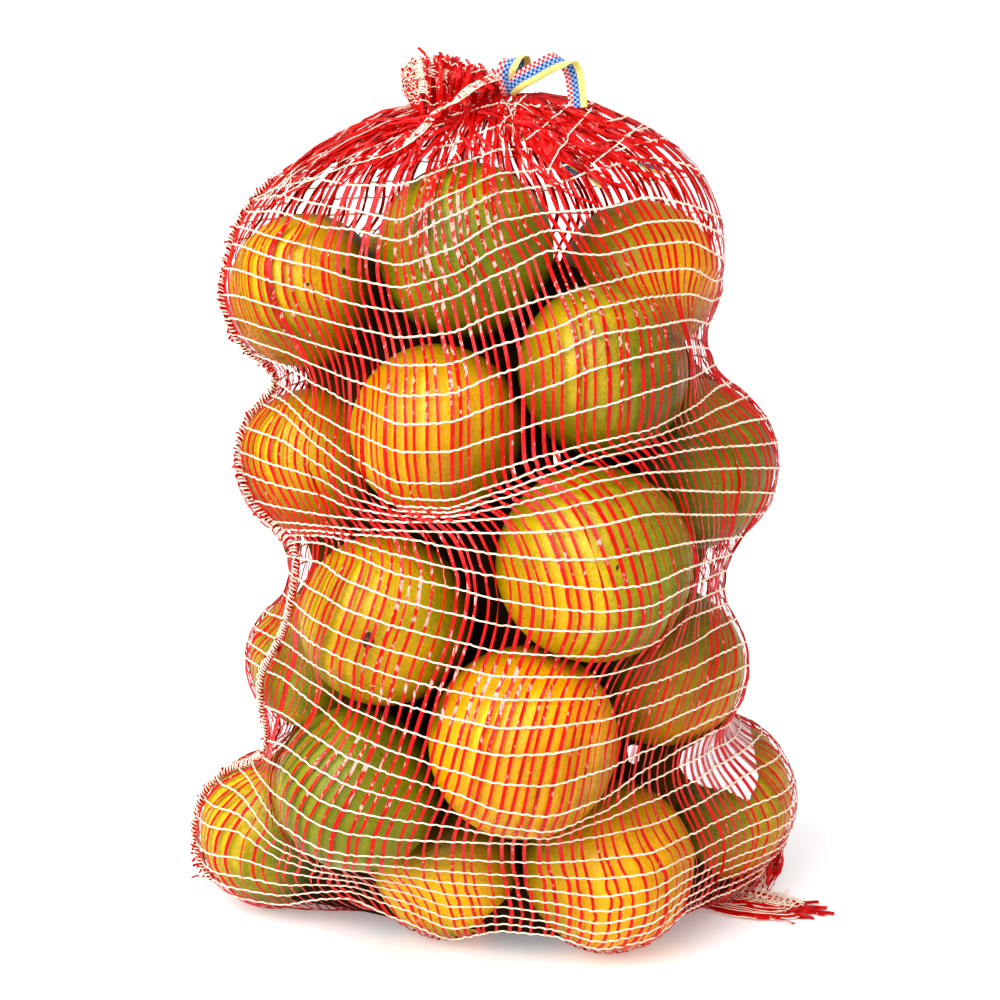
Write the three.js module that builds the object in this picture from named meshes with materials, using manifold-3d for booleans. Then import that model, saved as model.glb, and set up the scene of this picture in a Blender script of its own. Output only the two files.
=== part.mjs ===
// A red mesh net of oranges, drawn shut at its mouth and standing on its base.
// Units are millimetres, +Z is up, the front faces -Y. The origin is the middle of the
// bounding box on the surface that the net stands on.
import * as THREE from 'three';
import { mergeVertices } from 'three/addons/utils/BufferGeometryUtils.js';
import Module from 'manifold-3d';

// ---- driving dimensions ----
const NET_GAP = 1.1;            // net tapes lie this far outside the fruit
const AXIS_Y = 3;               // the net's own upright axis, in front-to-back direction
const MOUTH_Z = 327;            // height of the drawn mouth
const MOUTH_R = 8;              // radius of the bunched mouth
const SHOULDER_Z = 262;         // the loose upper net leaves the fruit here
const SHOULDER_RIGHT = 84.5;    // reach of the loose shoulder to the right
const SHOULDER_LEFT = 104;      // and to the left, where the side seam stands off
const SHOULDER_DEPTH = 47;      // and to the front and back
const SEAM_ANGLE = 183;         // side seam, degrees round the axis, 180 is the left side
const SEAM_RIDGE = 3.2;         // how far the seam's fringe stands out
const COLUMNS = 84;             // facets round
const RELAX_STEPS = 900;        // smoothing passes of the taut net
const TAIL_REACH = 137;         // the loose bottom corner reaches this far to the right
const TAIL_ROOT = 72;
const TAIL_Y = 20;
const TAIL_HEIGHT = 15;
const TAIL_THICK = 5;
const CORNER_REACH = 111;       // slack net between the last orange and the tail
const TUFT_LEAN = 29;           // the mouth's hem leans this far to the left
const TUFT_TOP = 342;
const TUFT_WIDTH = 32;
const TUFT_THICK = 12;
const RIBBON_WIDTH = 6;
const RIBBON_THICK = 0.9;

// oranges: name, centre x, y, z, radius
const ORANGES = [
  ['A', -73.1, -7.5, 254.5, 29.2], ['B', -12.6, -16.6, 270.1, 33.2], ['C', 53.7, 14.9, 256.4, 30.3],
  ['D', 37.5, -38.4, 228.7, 32.0], ['E', -23.2, -34.4, 205.8, 32.3], ['F', -71.3, -0.8, 187.6, 29.1],
  ['G', 72.2, -0.4, 187.0, 33.6], ['H', 34.1, -56.8, 160.9, 36.2], ['I', -42.9, -37.4, 134.7, 32.4],
  ['J', -71.0, 7.4, 106.6, 28.0], ['K', 62.4, -14.8, 110.8, 31.9], ['L', 8.5, -56.4, 93.3, 36.1],
  ['M', -53.4, -42.6, 70.8, 31.6], ['N', 84.7, 26.0, 43.4, 34.6], ['O', -90.4, 19.6, 31.9, 31.2],
  ['P', -20.4, -11.7, 29.9, 29.8], ['Q', 41.7, -26.0, 34.3, 33.6],
  ['h0', 19.8, 35.7, 32.0, 32.0], ['h1', -39.9, 55.5, 30.9, 30.9], ['h2', 42.9, 40.5, 90.7, 30.3],
  ['h3', -19.1, 25.1, 84.3, 34.0], ['h4', 12.0, 22.0, 146.0, 29.0], ['h5', -44.0, 36.5, 149.9, 30.6],
  ['h6', 27.7, 45.5, 206.9, 33.5], ['h7', -39.0, 38.0, 243.0, 30.5], ['h8', 56.0, 48.0, 146.0, 27.0],
];

// ---- rows of the net, bottom to top ----
const rows = [0, 2.2, 6, 11.5, 18];
while (rows[rows.length - 1] < 276) rows.push(rows[rows.length - 1] + 8.6);
while (rows[rows.length - 1] < MOUTH_Z - 5) rows.push(rows[rows.length - 1] + 5.2);
rows.push(MOUTH_Z);

const theta = (i) => (2 * Math.PI * i) / COLUMNS;

// how far out the fruit pushes the net, seen from the axis
function fruitReach(a, z) {
  const dx = Math.cos(a), dy = Math.sin(a);
  let reach = 0;
  for (const [, cx, cy, cz, r] of ORANGES) {
    const rr = (r + NET_GAP) ** 2 - (z - cz) ** 2;
    if (rr <= 0) continue;
    const along = dx * cx + dy * (cy - AXIS_Y);
    const off2 = cx * cx + (cy - AXIS_Y) ** 2 - along * along;
    if (off2 < rr) reach = Math.max(reach, along + Math.sqrt(rr - off2));
  }
  return reach;
}

// the loose shoulder: a dome that closes to the drawn mouth
function shoulderReach(a, z) {
  if (z < SHOULDER_Z - 1) return 0;
  const t = Math.min(1, Math.max(0, (z - SHOULDER_Z) / (MOUTH_Z + 0.5 - SHOULDER_Z)));
  const right = SHOULDER_RIGHT * (1 - t ** 2.6) ** (1 / 1.9);
  const left = SHOULDER_LEFT * (1 - t ** 1.8) ** (1 / 1.6);
  const deep = SHOULDER_DEPTH * (1 - t ** 2.2) ** (1 / 1.6);
  const wide = Math.cos(a) > 0 ? right : left;
  const c = Math.abs(Math.cos(a)) / Math.max(wide, 1), s = Math.abs(Math.sin(a)) / Math.max(deep, 1);
  return 1 / (c ** 2.2 + s ** 2.2) ** (1 / 2.2);
}

// slack net at the bottom right corner
function cornerReach(a, z) {
  const deg = (a * 180) / Math.PI;
  const off = Math.min(Math.abs(deg - 12), Math.abs(deg - 372));
  if (off > 18 || z > 34) return 0;
  return CORNER_REACH * (1 - 0.12 * (off / 18) ** 2);
}

function makeNetBody() {
  const n = rows.length;
  const floorPull = 20;
  const push = rows.map((z) => Array.from({ length: COLUMNS }, (_, i) => {
    const a = theta(i);
    let r = Math.max(fruitReach(a, Math.max(z, 7)), shoulderReach(a, z), cornerReach(a, z));
    if (z < 7) r -= (7 - z) * 1.3;
    return r;
  }));
  const reach = push.map((row) => row.map((r) => Math.max(r, 40)));
  for (let step = 0; step < RELAX_STEPS; step++) {
    for (let k = 0; k < n - 1; k++) {
      for (let i = 0; i < COLUMNS; i++) {
        const r = reach[k][i];
        const side = (2 * Math.PI * r) / COLUMNS;
        const ws = 1 / (side * side);
        let sum = ws * (reach[k][(i + 1) % COLUMNS] + reach[k][(i + COLUMNS - 1) % COLUMNS]);
        let w = 2 * ws;
        const up = rows[k + 1] - rows[k];
        sum += reach[k + 1][i] / (up * up); w += 1 / (up * up);
        const down = k > 0 ? rows[k] - rows[k - 1] : floorPull;
        const below = k > 0 ? reach[k - 1][i] : r - 14;
        sum += below / (down * down); w += 1 / (down * down);
        reach[k][i] = Math.max(push[k][i], 0.998 * (sum / w));
      }
    }
    for (let i = 0; i < COLUMNS; i++) reach[n - 1][i] = MOUTH_R;
  }
  const pos = [], tri = [];
  for (let k = 0; k < n; k++) {
    for (let i = 0; i < COLUMNS; i++) {
      const a = theta(i);
      let r = reach[k][i];
      const seam = Math.abs((a * 180) / Math.PI - SEAM_ANGLE);
      if (seam < 3.5 && rows[k] > 12 && rows[k] < 292) r += SEAM_RIDGE;
      pos.push(r * Math.cos(a), AXIS_Y + r * Math.sin(a), rows[k]);
    }
  }
  const idx = (k, i) => k * COLUMNS + (i % COLUMNS);
  for (let k = 0; k < n - 1; k++) for (let i = 0; i < COLUMNS; i++) {
    tri.push(idx(k, i), idx(k, i + 1), idx(k + 1, i + 1), idx(k, i), idx(k + 1, i + 1), idx(k + 1, i));
  }
  const low = pos.length / 3; pos.push(0, AXIS_Y, 0);
  const top = pos.length / 3; pos.push(0, AXIS_Y, MOUTH_Z);
  for (let i = 0; i < COLUMNS; i++) {
    tri.push(low, idx(0, i + 1), idx(0, i));
    tri.push(top, idx(n - 1, i), idx(n - 1, i + 1));
  }
  const g = new THREE.BufferGeometry();
  g.setAttribute('position', new THREE.Float32BufferAttribute(pos, 3));
  g.setIndex(tri);
  return g;
}

// closed loft through rings of points, each ring an array of Vector3 turning the same way
function loft(rings) {
  const m = rings[0].length, pos = [], tri = [];
  for (const ring of rings) for (const p of ring) pos.push(p.x, p.y, p.z);
  for (let k = 0; k < rings.length - 1; k++) for (let i = 0; i < m; i++) {
    const a = k * m + i, b = k * m + ((i + 1) % m), c = a + m, d = b + m;
    tri.push(a, b, d, a, d, c);
  }
  for (const [k, flip] of [[0, true], [rings.length - 1, false]]) {
    const c = rings[k].reduce((s, p) => s.add(p), new THREE.Vector3()).divideScalar(m);
    const ci = pos.length / 3; pos.push(c.x, c.y, c.z);
    for (let i = 0; i < m; i++) {
      const a = k * m + i, b = k * m + ((i + 1) % m);
      if (flip) tri.push(ci, b, a); else tri.push(ci, a, b);
    }
  }
  const g = new THREE.BufferGeometry();
  g.setAttribute('position', new THREE.Float32BufferAttribute(pos, 3));
  g.setIndex(tri);
  return g;
}

// the mouth's bunched hem: a pleated fan that leans to the left
function makeTuft() {
  const rings = [];
  const steps = 7, sides = 22;
  for (let k = 0; k <= steps; k++) {
    const t = k / steps;
    const cx = 4 - (TUFT_LEAN - 2) * t, cz = MOUTH_Z - 16 + (TUFT_TOP - 4 - MOUTH_Z + 16) * t ** 0.8;
    const hw = 5 + (TUFT_WIDTH / 2 - 5) * t ** 0.7, ht = 4 + (TUFT_THICK / 2 - 4) * t;
    const tilt = -0.5 * t;
    const ring = [];
    for (let i = 0; i < sides; i++) {
      const a = (2 * Math.PI * i) / sides;
      const pleat = 1 + 0.13 * t * Math.cos(5 * a + 1.2);
      const u = hw * Math.cos(a) * pleat, v = ht * Math.sin(a) * pleat;
      ring.push(new THREE.Vector3(cx + u * Math.cos(tilt), AXIS_Y + v, cz - u * Math.sin(tilt) * 0.55));
    }
    rings.push(ring);
  }
  return loft(rings);
}

// the loose bottom corner: a thin tapering tail that lies on the surface
function makeTail() {
  const rings = [];
  const steps = 8, sides = 10;
  for (let k = 0; k <= steps; k++) {
    const t = k / steps;
    const x = TAIL_ROOT + (TAIL_REACH - TAIL_ROOT) * t;
    const h = TAIL_HEIGHT * (1 - t) ** 0.75 + 1.6;
    const half = (TAIL_THICK * (1 - 0.75 * t)) / 2;
    const y = TAIL_Y - 5 * t;
    const ring = [];
    for (let i = 0; i < sides; i++) {
      const a = (2 * Math.PI * i) / sides;
      const up = 0.5 - 0.5 * Math.cos(a);
      ring.push(new THREE.Vector3(x, y + half * Math.sin(a) * (1.6 - 0.6 * up) + 6 * up * (1 - t), 0.15 + h * up));
    }
    rings.push(ring);
  }
  return loft(rings);
}

const wasm = await Module();
wasm.setup();

function toSolid(geometry) {
  const g = geometry.index ? geometry.clone() : geometry.clone();
  g.deleteAttribute('normal');
  g.deleteAttribute('uv');
  const m = mergeVertices(g, 1e-4);
  return new wasm.Manifold(new wasm.Mesh({
    numProp: 3,
    vertProperties: new Float32Array(m.attributes.position.array),
    triVerts: new Uint32Array(m.index.array),
  }));
}

function toGeometry(solid) {
  const mesh = solid.getMesh();
  const g = new THREE.BufferGeometry();
  const np = mesh.numProp, nv = mesh.vertProperties.length / np;
  const pos = new Float32Array(nv * 3);
  for (let i = 0; i < nv; i++) for (let c = 0; c < 3; c++) pos[3 * i + c] = mesh.vertProperties[np * i + c];
  g.setAttribute('position', new THREE.BufferAttribute(pos, 3));
  g.setIndex(Array.from(mesh.triVerts));
  g.computeVertexNormals();
  return g;
}

const netSolid = toSolid(makeNetBody()).add(toSolid(makeTuft())).add(toSolid(makeTail()));
const netGeometry = toGeometry(netSolid);

// the drawstring's ribbon, above the drawn mouth: a small loop, then a long one that
// comes down on the right shoulder
function makeRibbon() {
  const z0 = MOUTH_Z + 2.2;
  const path = new THREE.CatmullRomCurve3([
    [6.5, 2, z0], [2.5, 0, z0 + 5], [4.5, -1, z0 + 11.2], [9.5, -2, z0 + 11.6],
    [11.0, -4, z0 + 7], [8.0, -6.5, z0 + 3.2], [12.5, -7.5, z0 + 6.5], [18.0, -8.0, z0 + 10.2],
    [24.0, -8.0, z0 + 10.0], [29.5, -8.5, z0 + 5.2], [31.3, -9.5, z0 + 0.6], [31.4, -10.5, z0 - 2.6],
  ].map((p) => new THREE.Vector3(...p)), false, 'centripetal');
  const half = RIBBON_THICK / 2, wide = RIBBON_WIDTH / 2;
  const steps = 44, rings = [];
  for (let k = 0; k <= steps; k++) {
    const t = k / steps;
    const c = path.getPointAt(t), d = path.getTangentAt(t);
    const across = new THREE.Vector3(0, 1, 0.25).normalize();
    across.addScaledVector(d, -across.dot(d)).normalize();
    const out = new THREE.Vector3().crossVectors(d, across).normalize();
    const corner = (u, v) => c.clone().addScaledVector(across, u * wide).addScaledVector(out, v * half);
    rings.push([corner(-1, -1), corner(1, -1), corner(1, 1), corner(-1, 1)]);
  }
  return loft(rings);
}

const red = new THREE.MeshStandardMaterial({ color: 0xd62a1c, roughness: 0.5, metalness: 0 });
const ribbon = new THREE.MeshStandardMaterial({ color: 0x2f6fc0, roughness: 0.8, metalness: 0 });

const net = new THREE.Mesh(netGeometry, red);
net.name = 'net';
const drawstring = new THREE.Mesh(makeRibbon(), ribbon);
drawstring.name = 'drawstring';

const group = new THREE.Group();
group.add(net, drawstring);

// stand the whole on its base, centred
const box = new THREE.Box3().setFromObject(group);
group.position.set(-(box.min.x + box.max.x) / 2, -(box.min.y + box.max.y) / 2, -box.min.z);
group.updateMatrixWorld(true);

export default group;
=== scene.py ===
# A red mesh net of oranges, drawn shut by a striped woven ribbon. Metres, +Z up, front at -Y.
import math
import bpy
import numpy as np
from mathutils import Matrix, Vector


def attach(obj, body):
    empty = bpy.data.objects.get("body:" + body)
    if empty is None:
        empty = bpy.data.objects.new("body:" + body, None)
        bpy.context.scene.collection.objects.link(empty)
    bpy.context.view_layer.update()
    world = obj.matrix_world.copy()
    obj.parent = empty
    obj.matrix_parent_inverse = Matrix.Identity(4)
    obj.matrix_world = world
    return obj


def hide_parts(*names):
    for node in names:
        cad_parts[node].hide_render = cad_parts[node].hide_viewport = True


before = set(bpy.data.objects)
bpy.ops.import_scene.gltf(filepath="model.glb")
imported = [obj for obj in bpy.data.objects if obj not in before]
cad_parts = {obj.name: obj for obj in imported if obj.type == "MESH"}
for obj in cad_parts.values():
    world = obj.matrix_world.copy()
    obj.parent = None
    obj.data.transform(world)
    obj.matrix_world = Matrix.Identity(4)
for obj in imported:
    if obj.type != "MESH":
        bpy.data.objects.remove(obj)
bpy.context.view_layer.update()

rng = np.random.default_rng(20461)
MM = 0.001
SHIFT = np.array([-7.2615, 3.2742, 0.0])      # the CAD's own shift to its base centre, mm
AXIS_Y = 3.0

# ------------------------------------------------------------------ fruit
# name, centre x, y, z, radius (mm), green direction (x, y, z), green low, green high, warmth
FRUIT = [
    ("A", -73.1, -7.5, 254.5, 29.2, (0.3, 0.0, -1.0), -0.25, 0.62, 0.50),
    ("B", -12.6, -16.6, 270.1, 33.2, (0.4, -0.6, -0.6), 0.42, 0.90, 0.38),
    ("C", 53.7, 14.9, 256.4, 30.3, (0.1, 0.0, -1.0), -0.15, 0.62, 0.52),
    ("D", 37.5, -38.4, 228.7, 32.0, (0.8, -0.1, -0.6), 0.05, 0.78, 0.36),
    ("E", -23.2, -34.4, 205.8, 32.3, (0.8, 0.1, -0.6), -0.55, 0.46, 0.72),
    ("F", -71.3, -0.8, 187.6, 29.1, (0.9, 0.1, -0.4), -0.50, 0.42, 0.60),
    ("G", 72.2, -0.4, 187.0, 33.6, (-0.2, -0.5, -0.2), 0.55, 0.98, 0.30),
    ("H", 34.1, -56.8, 160.9, 36.2, (0.9, -0.2, -0.1), -0.22, 0.72, 0.45),
    ("I", -42.9, -37.4, 134.7, 32.4, (0.5, 0.1, -0.9), -0.20, 0.70, 0.42),
    ("J", -71.0, 7.4, 106.6, 28.0, (-0.3, 0.0, -0.8), 0.20, 0.80, 0.40),
    ("K", 62.4, -14.8, 110.8, 31.9, (-0.3, 0.1, 0.9), 0.05, 0.80, 0.66),
    ("L", 8.5, -56.4, 93.3, 36.1, (0.8, 0.0, -0.7), -0.80, 0.30, 0.95),
    ("M", -53.4, -42.6, 70.8, 31.6, (0.4, -0.4, -0.3), 0.50, 0.95, 0.30),
    ("N", 84.7, 26.0, 43.4, 34.6, (-0.5, -0.2, 0.3), 0.05, 0.70, 0.60),
    ("O", -90.4, 19.6, 31.9, 31.2, (0.3, -0.2, -0.5), 0.00, 0.80, 0.36),
    ("P", -20.4, -11.7, 29.9, 29.8, (-0.5, 0.2, -0.3), -0.30, 0.55, 0.55),
    ("Q", 41.7, -26.0, 34.3, 33.6, (-0.7, 0.1, 0.5), -0.40, 0.55, 0.70),
    ("h0", 19.8, 35.7, 32.0, 32.0, (0.2, 0.6, -0.8), -0.30, 0.60, 0.62),
    ("h1", -39.9, 55.5, 30.9, 30.9, (-0.6, 0.3, 0.5), 0.10, 0.85, 0.40),
    ("h2", 42.9, 40.5, 90.7, 30.3, (0.5, 0.2, 0.8), -0.10, 0.75, 0.50),
    ("h3", -19.1, 25.1, 84.3, 34.0, (-0.4, 0.5, -0.6), -0.50, 0.45, 0.80),
    ("h4", 12.0, 22.0, 146.0, 29.0, (0.7, 0.4, 0.2), 0.20, 0.90, 0.36),
    ("h5", -44.0, 36.5, 149.9, 30.6, (-0.2, 0.3, -0.9), -0.35, 0.60, 0.58),
    ("h6", 27.7, 45.5, 206.9, 33.5, (-0.6, 0.5, 0.3), -0.30, 0.50, 0.66),
    ("h7", -39.0, 38.0, 243.0, 30.5, (0.4, 0.6, -0.4), 0.15, 0.85, 0.42),
    ("h8", 56.0, 48.0, 146.0, 27.0, (0.2, 0.3, -0.9), -0.20, 0.65, 0.60),
]
FC = np.array([f[1:4] for f in FRUIT])
FR = np.array([f[4] for f in FRUIT])

# ------------------------------------------------------------------ camera numbers
CAM_E = math.radians(12.0)
CAM_P = np.array([0.0, -889.136, 361.496])
FOCAL = 2361.1
C_F = np.array([0.0, math.cos(CAM_E), -math.sin(CAM_E)])
C_U = np.array([0.0, math.sin(CAM_E), math.cos(CAM_E)])


def to_px(p):
    d = p - CAM_P
    depth = d @ C_F
    return 500 + FOCAL * d[..., 0] / depth, 500 - FOCAL * (d @ C_U) / depth


def from_px(x, y, plane_y):
    d = C_F + np.array([1.0, 0, 0]) * (x - 500) / FOCAL + C_U * (500 - y) / FOCAL
    return CAM_P + d * (plane_y - CAM_P[1]) / d[1]


# ------------------------------------------------------------------ the net's taut surface
MOUTH_Z = 327.0
NET_GAP = 0.95


def z_levels(n):
    low = 296.0 * np.linspace(0.0, 1.0, n) ** 1.12
    t = np.linspace(0, 1, n // 4 + 1)[1:]
    return np.concatenate([low, 296.0 + (MOUTH_Z - 296.0) * (1 - (1 - t) ** 1.7)])


def fruit_reach(th, z):
    dx, dy = np.cos(th)[:, None], np.sin(th)[:, None]
    reach = np.zeros((len(th), len(z)))
    for (cx, cy, cz), r in zip(FC, FR):
        rr = (r + NET_GAP) ** 2 - (z[None, :] - cz) ** 2
        along = dx * cx + dy * (cy - AXIS_Y)
        off2 = cx * cx + (cy - AXIS_Y) ** 2 - along * along
        q = rr - off2
        hit = (rr > 0) & (q > 0)
        reach = np.where(hit, np.maximum(reach, along + np.sqrt(np.maximum(q, 0))), reach)
    return reach


def shoulder_reach(th, z):
    t = np.clip((z - 262.0) / (MOUTH_Z + 0.5 - 262.0), 0, 1)[None, :]
    right = 84.5 * (1 - t ** 2.6) ** (1 / 1.9)
    left = 103.0 * (1 - t ** 1.8) ** (1 / 1.6)
    deep = 44.0 * (1 - t ** 2.2) ** (1 / 1.6)
    c, s = np.cos(th)[:, None], np.sin(th)[:, None]
    wide = np.where(c > 0, right, left)
    n = 2.2
    r = 1 / ((np.abs(c) / np.maximum(wide, 1)) ** n + (np.abs(s) / np.maximum(deep, 1)) ** n) ** (1 / n)
    return np.where(z[None, :] < 262.0, 0.0, r)


def corner_reach(th, z):
    deg = np.degrees(th)[:, None]
    off = np.abs((deg - 14 + 180) % 360 - 180)
    r = 110.5 * (1 - 0.10 * (off / 11) ** 2)
    return np.where((off < 11) & (z[None, :] < 26), r, 0.0)


def relax(n_th, n_z, start, steps):
    th = np.arange(n_th) * 2 * math.pi / n_th
    z = z_levels(n_z)
    push = np.maximum.reduce([fruit_reach(th, np.maximum(z, 1.4)), shoulder_reach(th, z), corner_reach(th, z)])
    if start is None:
        r = np.maximum(push, 70.0)
    else:
        th0, z0, r0 = start
        rz = np.array([np.interp(z, z0, row) for row in r0])
        ext = np.vstack([rz, rz[:1]])
        tt = np.append(th0, 2 * math.pi)
        r = np.array([np.interp(th, tt, ext[:, k]) for k in range(len(z))]).T
        r = np.maximum(r, push)
    dth = 2 * math.pi / n_th
    dz_up = np.diff(z)
    up = np.append(dz_up, dz_up[-1])[None, :]
    dn = np.insert(dz_up, 0, 4.0)[None, :]
    soft = np.clip(z / 45.0, 0.10, 1.0)[None, :]
    for _ in range(steps):
        left, right = np.roll(r, 1, 0), np.roll(r, -1, 0)
        chord = 2 * left * right * math.cos(dth) / (left + right)
        above = np.hstack([r[:, 1:], r[:, -1:]])
        below = np.hstack([r[:, :1] - 9.0, r[:, :-1]])
        mean = (above * dn + below * up) / (up + dn)
        wh = 1.0 / (r * dth) ** 2
        wv = 0.26 * soft / (up * dn)
        new = (wh * chord + wv * mean) / (wh + wv)
        new[:, -1] = 7.0
        r = np.maximum(push, r + 0.95 * (new - r))
        r[:, -1] = 7.0
    return th, z, r


s = relax(60, 60, None, 500)
s = relax(120, 110, s, 500)
TH, ZS, RS = relax(240, 200, s, 400)
N_TH = len(TH)

# folds of the drawn mouth: they grow where the net is gathered
fold_w = np.clip((ZS - 272.0) / 40.0, 0, 1)[None, :] ** 1.2
fold = np.zeros_like(RS)
for k, (f, a) in enumerate([(9, 1.0), (14, 0.8), (23, 0.55), (31, 0.35)]):
    ph = rng.uniform(0, 2 * math.pi)
    fold += a * np.sin(f * TH[:, None] + ph + 0.012 * (ZS[None, :] - 280.0))
slope_pad = np.clip(RS / 30.0, 0.15, 1.0)
RS = RS + fold_w * slope_pad * (1.3 * fold)

SX = RS * np.cos(TH)[:, None]
SY = AXIS_Y + RS * np.sin(TH)[:, None]
SZ = np.broadcast_to(ZS[None, :], RS.shape)
SURF = np.stack([SX, SY, SZ], -1)


def normals_of(grid):
    a = np.roll(grid, -1, 0) - np.roll(grid, 1, 0)
    b = np.empty_like(grid)
    b[:, 1:-1] = grid[:, 2:] - grid[:, :-2]
    b[:, 0] = grid[:, 1] - grid[:, 0]
    b[:, -1] = grid[:, -1] - grid[:, -2]
    n = np.cross(a, b)
    return n / np.maximum(np.linalg.norm(n, axis=-1, keepdims=True), 1e-9)


SNRM = normals_of(SURF)


def at(grid, th, z):
    """Samples a surface grid at angles th and heights z."""
    u = (np.asarray(th) / (2 * math.pi) * N_TH) % N_TH
    i0 = np.floor(u).astype(int) % N_TH
    i1 = (i0 + 1) % N_TH
    fu = u - np.floor(u)
    v = np.interp(z, ZS, np.arange(len(ZS)))
    j0 = np.clip(np.floor(v).astype(int), 0, len(ZS) - 2)
    fv = v - j0
    if grid.ndim == 3:
        fu, fv = fu[..., None], fv[..., None]
    return ((grid[i0, j0] * (1 - fu) + grid[i1, j0] * fu) * (1 - fv)
            + (grid[i0, j0 + 1] * (1 - fu) + grid[i1, j0 + 1] * fu) * fv)


# ------------------------------------------------------------------ how the rows of thread lie
# Heights at which the rows cross upright lines on the front, in units of the picture frame.
LINES = [235, 280, 320, 350, 400, 450, 500, 550, 600, 650, 690, 720, 750, 775]
ROWS = [
    [196, 150, 140, 132, 122, 116, 104, 108, 104, 100, 98, 97, 97, 97],
    [199, 160, 158, 160, 152, 146, 126, 128, 124, 112, 106, 104, 104, 104],
    [202, 176, 180, 186, 186, 168, 150, 150, 144, 128, 116, 110, 110, 110],
    [206, 196, 205, 210, 222, 195, 174, 170, 155, 142, 132, 120, 118, 116],
    [213, 211, 228, 229, 242, 217, 192, 186, 168, 157, 166, 190, 300, 330],
    [226, 240, 250, 255, 266, 250, 221, 213, 210, 197, 206, 218, 330, 396],
    [244, 260, 268, 279, 288, 276, 248, 230, 237, 222, 220, 233, 336, 399],
    [269, 284, 293, 304, 312, 299, 273, 250, 256, 245, 241, 256, 342, 401],
    [295, 308, 319, 327, 338, 334, 313, 298, 285, 272, 268, 284, 350, 403],
    [318, 332, 345, 354, 366, 365, 345, 331, 308, 298, 294, 304, 357, 405],
    [334, 349, 367, 380, 397, 395, 374, 357, 334, 328, 320, 327, 364, 407],
    [346, 362, 386, 403, 425, 423, 404, 387, 367, 354, 347, 350, 370, 409],
    [372, 384, 416, 432, 452, 452, 436, 420, 407, 391, 378, 362, 374, 410],
    [384, 398, 434, 456, 483, 484, 470, 455, 442, 430, 409, 386, 380, 411],
    [392, 411, 447, 470, 499, 501, 485, 467, 450, 437, 423, 408, 396, 412],
    [425, 439, 465, 485, 507, 509, 492, 475, 457, 446, 437, 429, 421, 417],
    [450, 467, 478, 498, 511, 513, 499, 485, 470, 458, 450, 447, 446, 443],
    [470, 486, 494, 508, 516, 517, 508, 496, 481, 473, 471, 469, 468, 468],
    [494, 507, 515, 518, 522, 521, 519, 512, 500, 489, 491, 492, 492, 493],
    [514, 522, 526, 530, 531, 532, 533, 532, 526, 514, 515, 515, 514, 511],
    [524, 529, 531, 534, 537, 547, 555, 560, 560, 551, 543, 539, 535, 524],
    [532, 535, 535, 541, 556, 568, 577, 584, 590, 585, 567, 557, 545, 534],
    [538, 540, 542, 554, 575, 587, 600, 608, 612, 607, 586, 572, 556, 546],
    [548, 554, 562, 583, 601, 613, 625, 630, 631, 625, 602, 590, 570, 560],
    [562, 566, 594, 612, 628, 640, 652, 655, 656, 645, 616, 606, 590, 580],
    [585, 592, 623, 638, 653, 666, 677, 677, 676, 662, 644, 626, 612, 600],
    [606, 617, 647, 661, 678, 691, 700, 700, 698, 683, 669, 654, 640, 628],
    [618, 640, 667, 685, 704, 718, 729, 727, 721, 706, 691, 677, 664, 652],
    [634, 662, 686, 708, 729, 745, 756, 754, 744, 728, 711, 697, 684, 672],
    [652, 676, 707, 734, 754, 770, 784, 786, 771, 749, 729, 715, 702, 692],
    [690, 712, 740, 759, 777, 791, 811, 817, 800, 766, 743, 727, 715, 706],
    [730, 744, 771, 787, 799, 811, 826, 832, 813, 780, 761, 745, 731, 722],
    [741, 766, 801, 812, 820, 826, 835, 838, 820, 801, 783, 763, 748, 742],
    [749, 797, 826, 834, 839, 841, 842, 843, 835, 825, 808, 791, 772, 766],
    [760, 824, 849, 855, 857, 858, 861, 862, 859, 854, 835, 820, 806, 796],
    [790, 842, 858, 862, 866, 871, 874, 876, 879, 874, 856, 840, 826, 816],
    [811, 850, 865, 869, 875, 882, 885, 890, 897, 890, 869, 853, 839, 830],
    [829, 859, 871, 875, 882, 894, 896, 902, 912, 903, 878, 863, 851, 843],
    [856, 871, 877, 880, 890, 906, 906, 912, 924, 914, 887, 871, 860, 854],
    [874, 885, 884, 885, 899, 918, 915, 921, 934, 924, 895, 879, 869, 863],
    [887, 896, 891, 890, 907, 928, 923, 928, 942, 932, 902, 887, 877, 871],
    [896, 905, 898, 897, 919, 939, 930, 934, 949, 939, 908, 894, 884, 879],
]
ROWS = np.array(ROWS, float)
N_FRONT = len(ROWS)

spx, spy = to_px(SURF)
phi = np.zeros_like(RS)
row_k = np.arange(N_FRONT)
cols = np.array(LINES, float)
xq = np.clip(spx, cols[0], cols[-1])
ci = np.clip(np.searchsorted(cols, xq) - 1, 0, len(cols) - 2)
cf = (xq - cols[ci]) / (cols[ci + 1] - cols[ci])
cf = cf * cf * (3 - 2 * cf) * 0.35 + cf * 0.65
for a in range(N_TH):
    for b in range(len(ZS)):
        yk = ROWS[:, ci[a, b]] * (1 - cf[a, b]) + ROWS[:, ci[a, b] + 1] * cf[a, b]
        y = spy[a, b]
        if y <= yk[0]:
            phi[a, b] = (y - yk[0]) / 14.0
        elif y >= yk[-1]:
            phi[a, b] = N_FRONT - 1 + (y - yk[-1]) / 12.0
        else:
            phi[a, b] = np.interp(y, yk, row_k)

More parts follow.
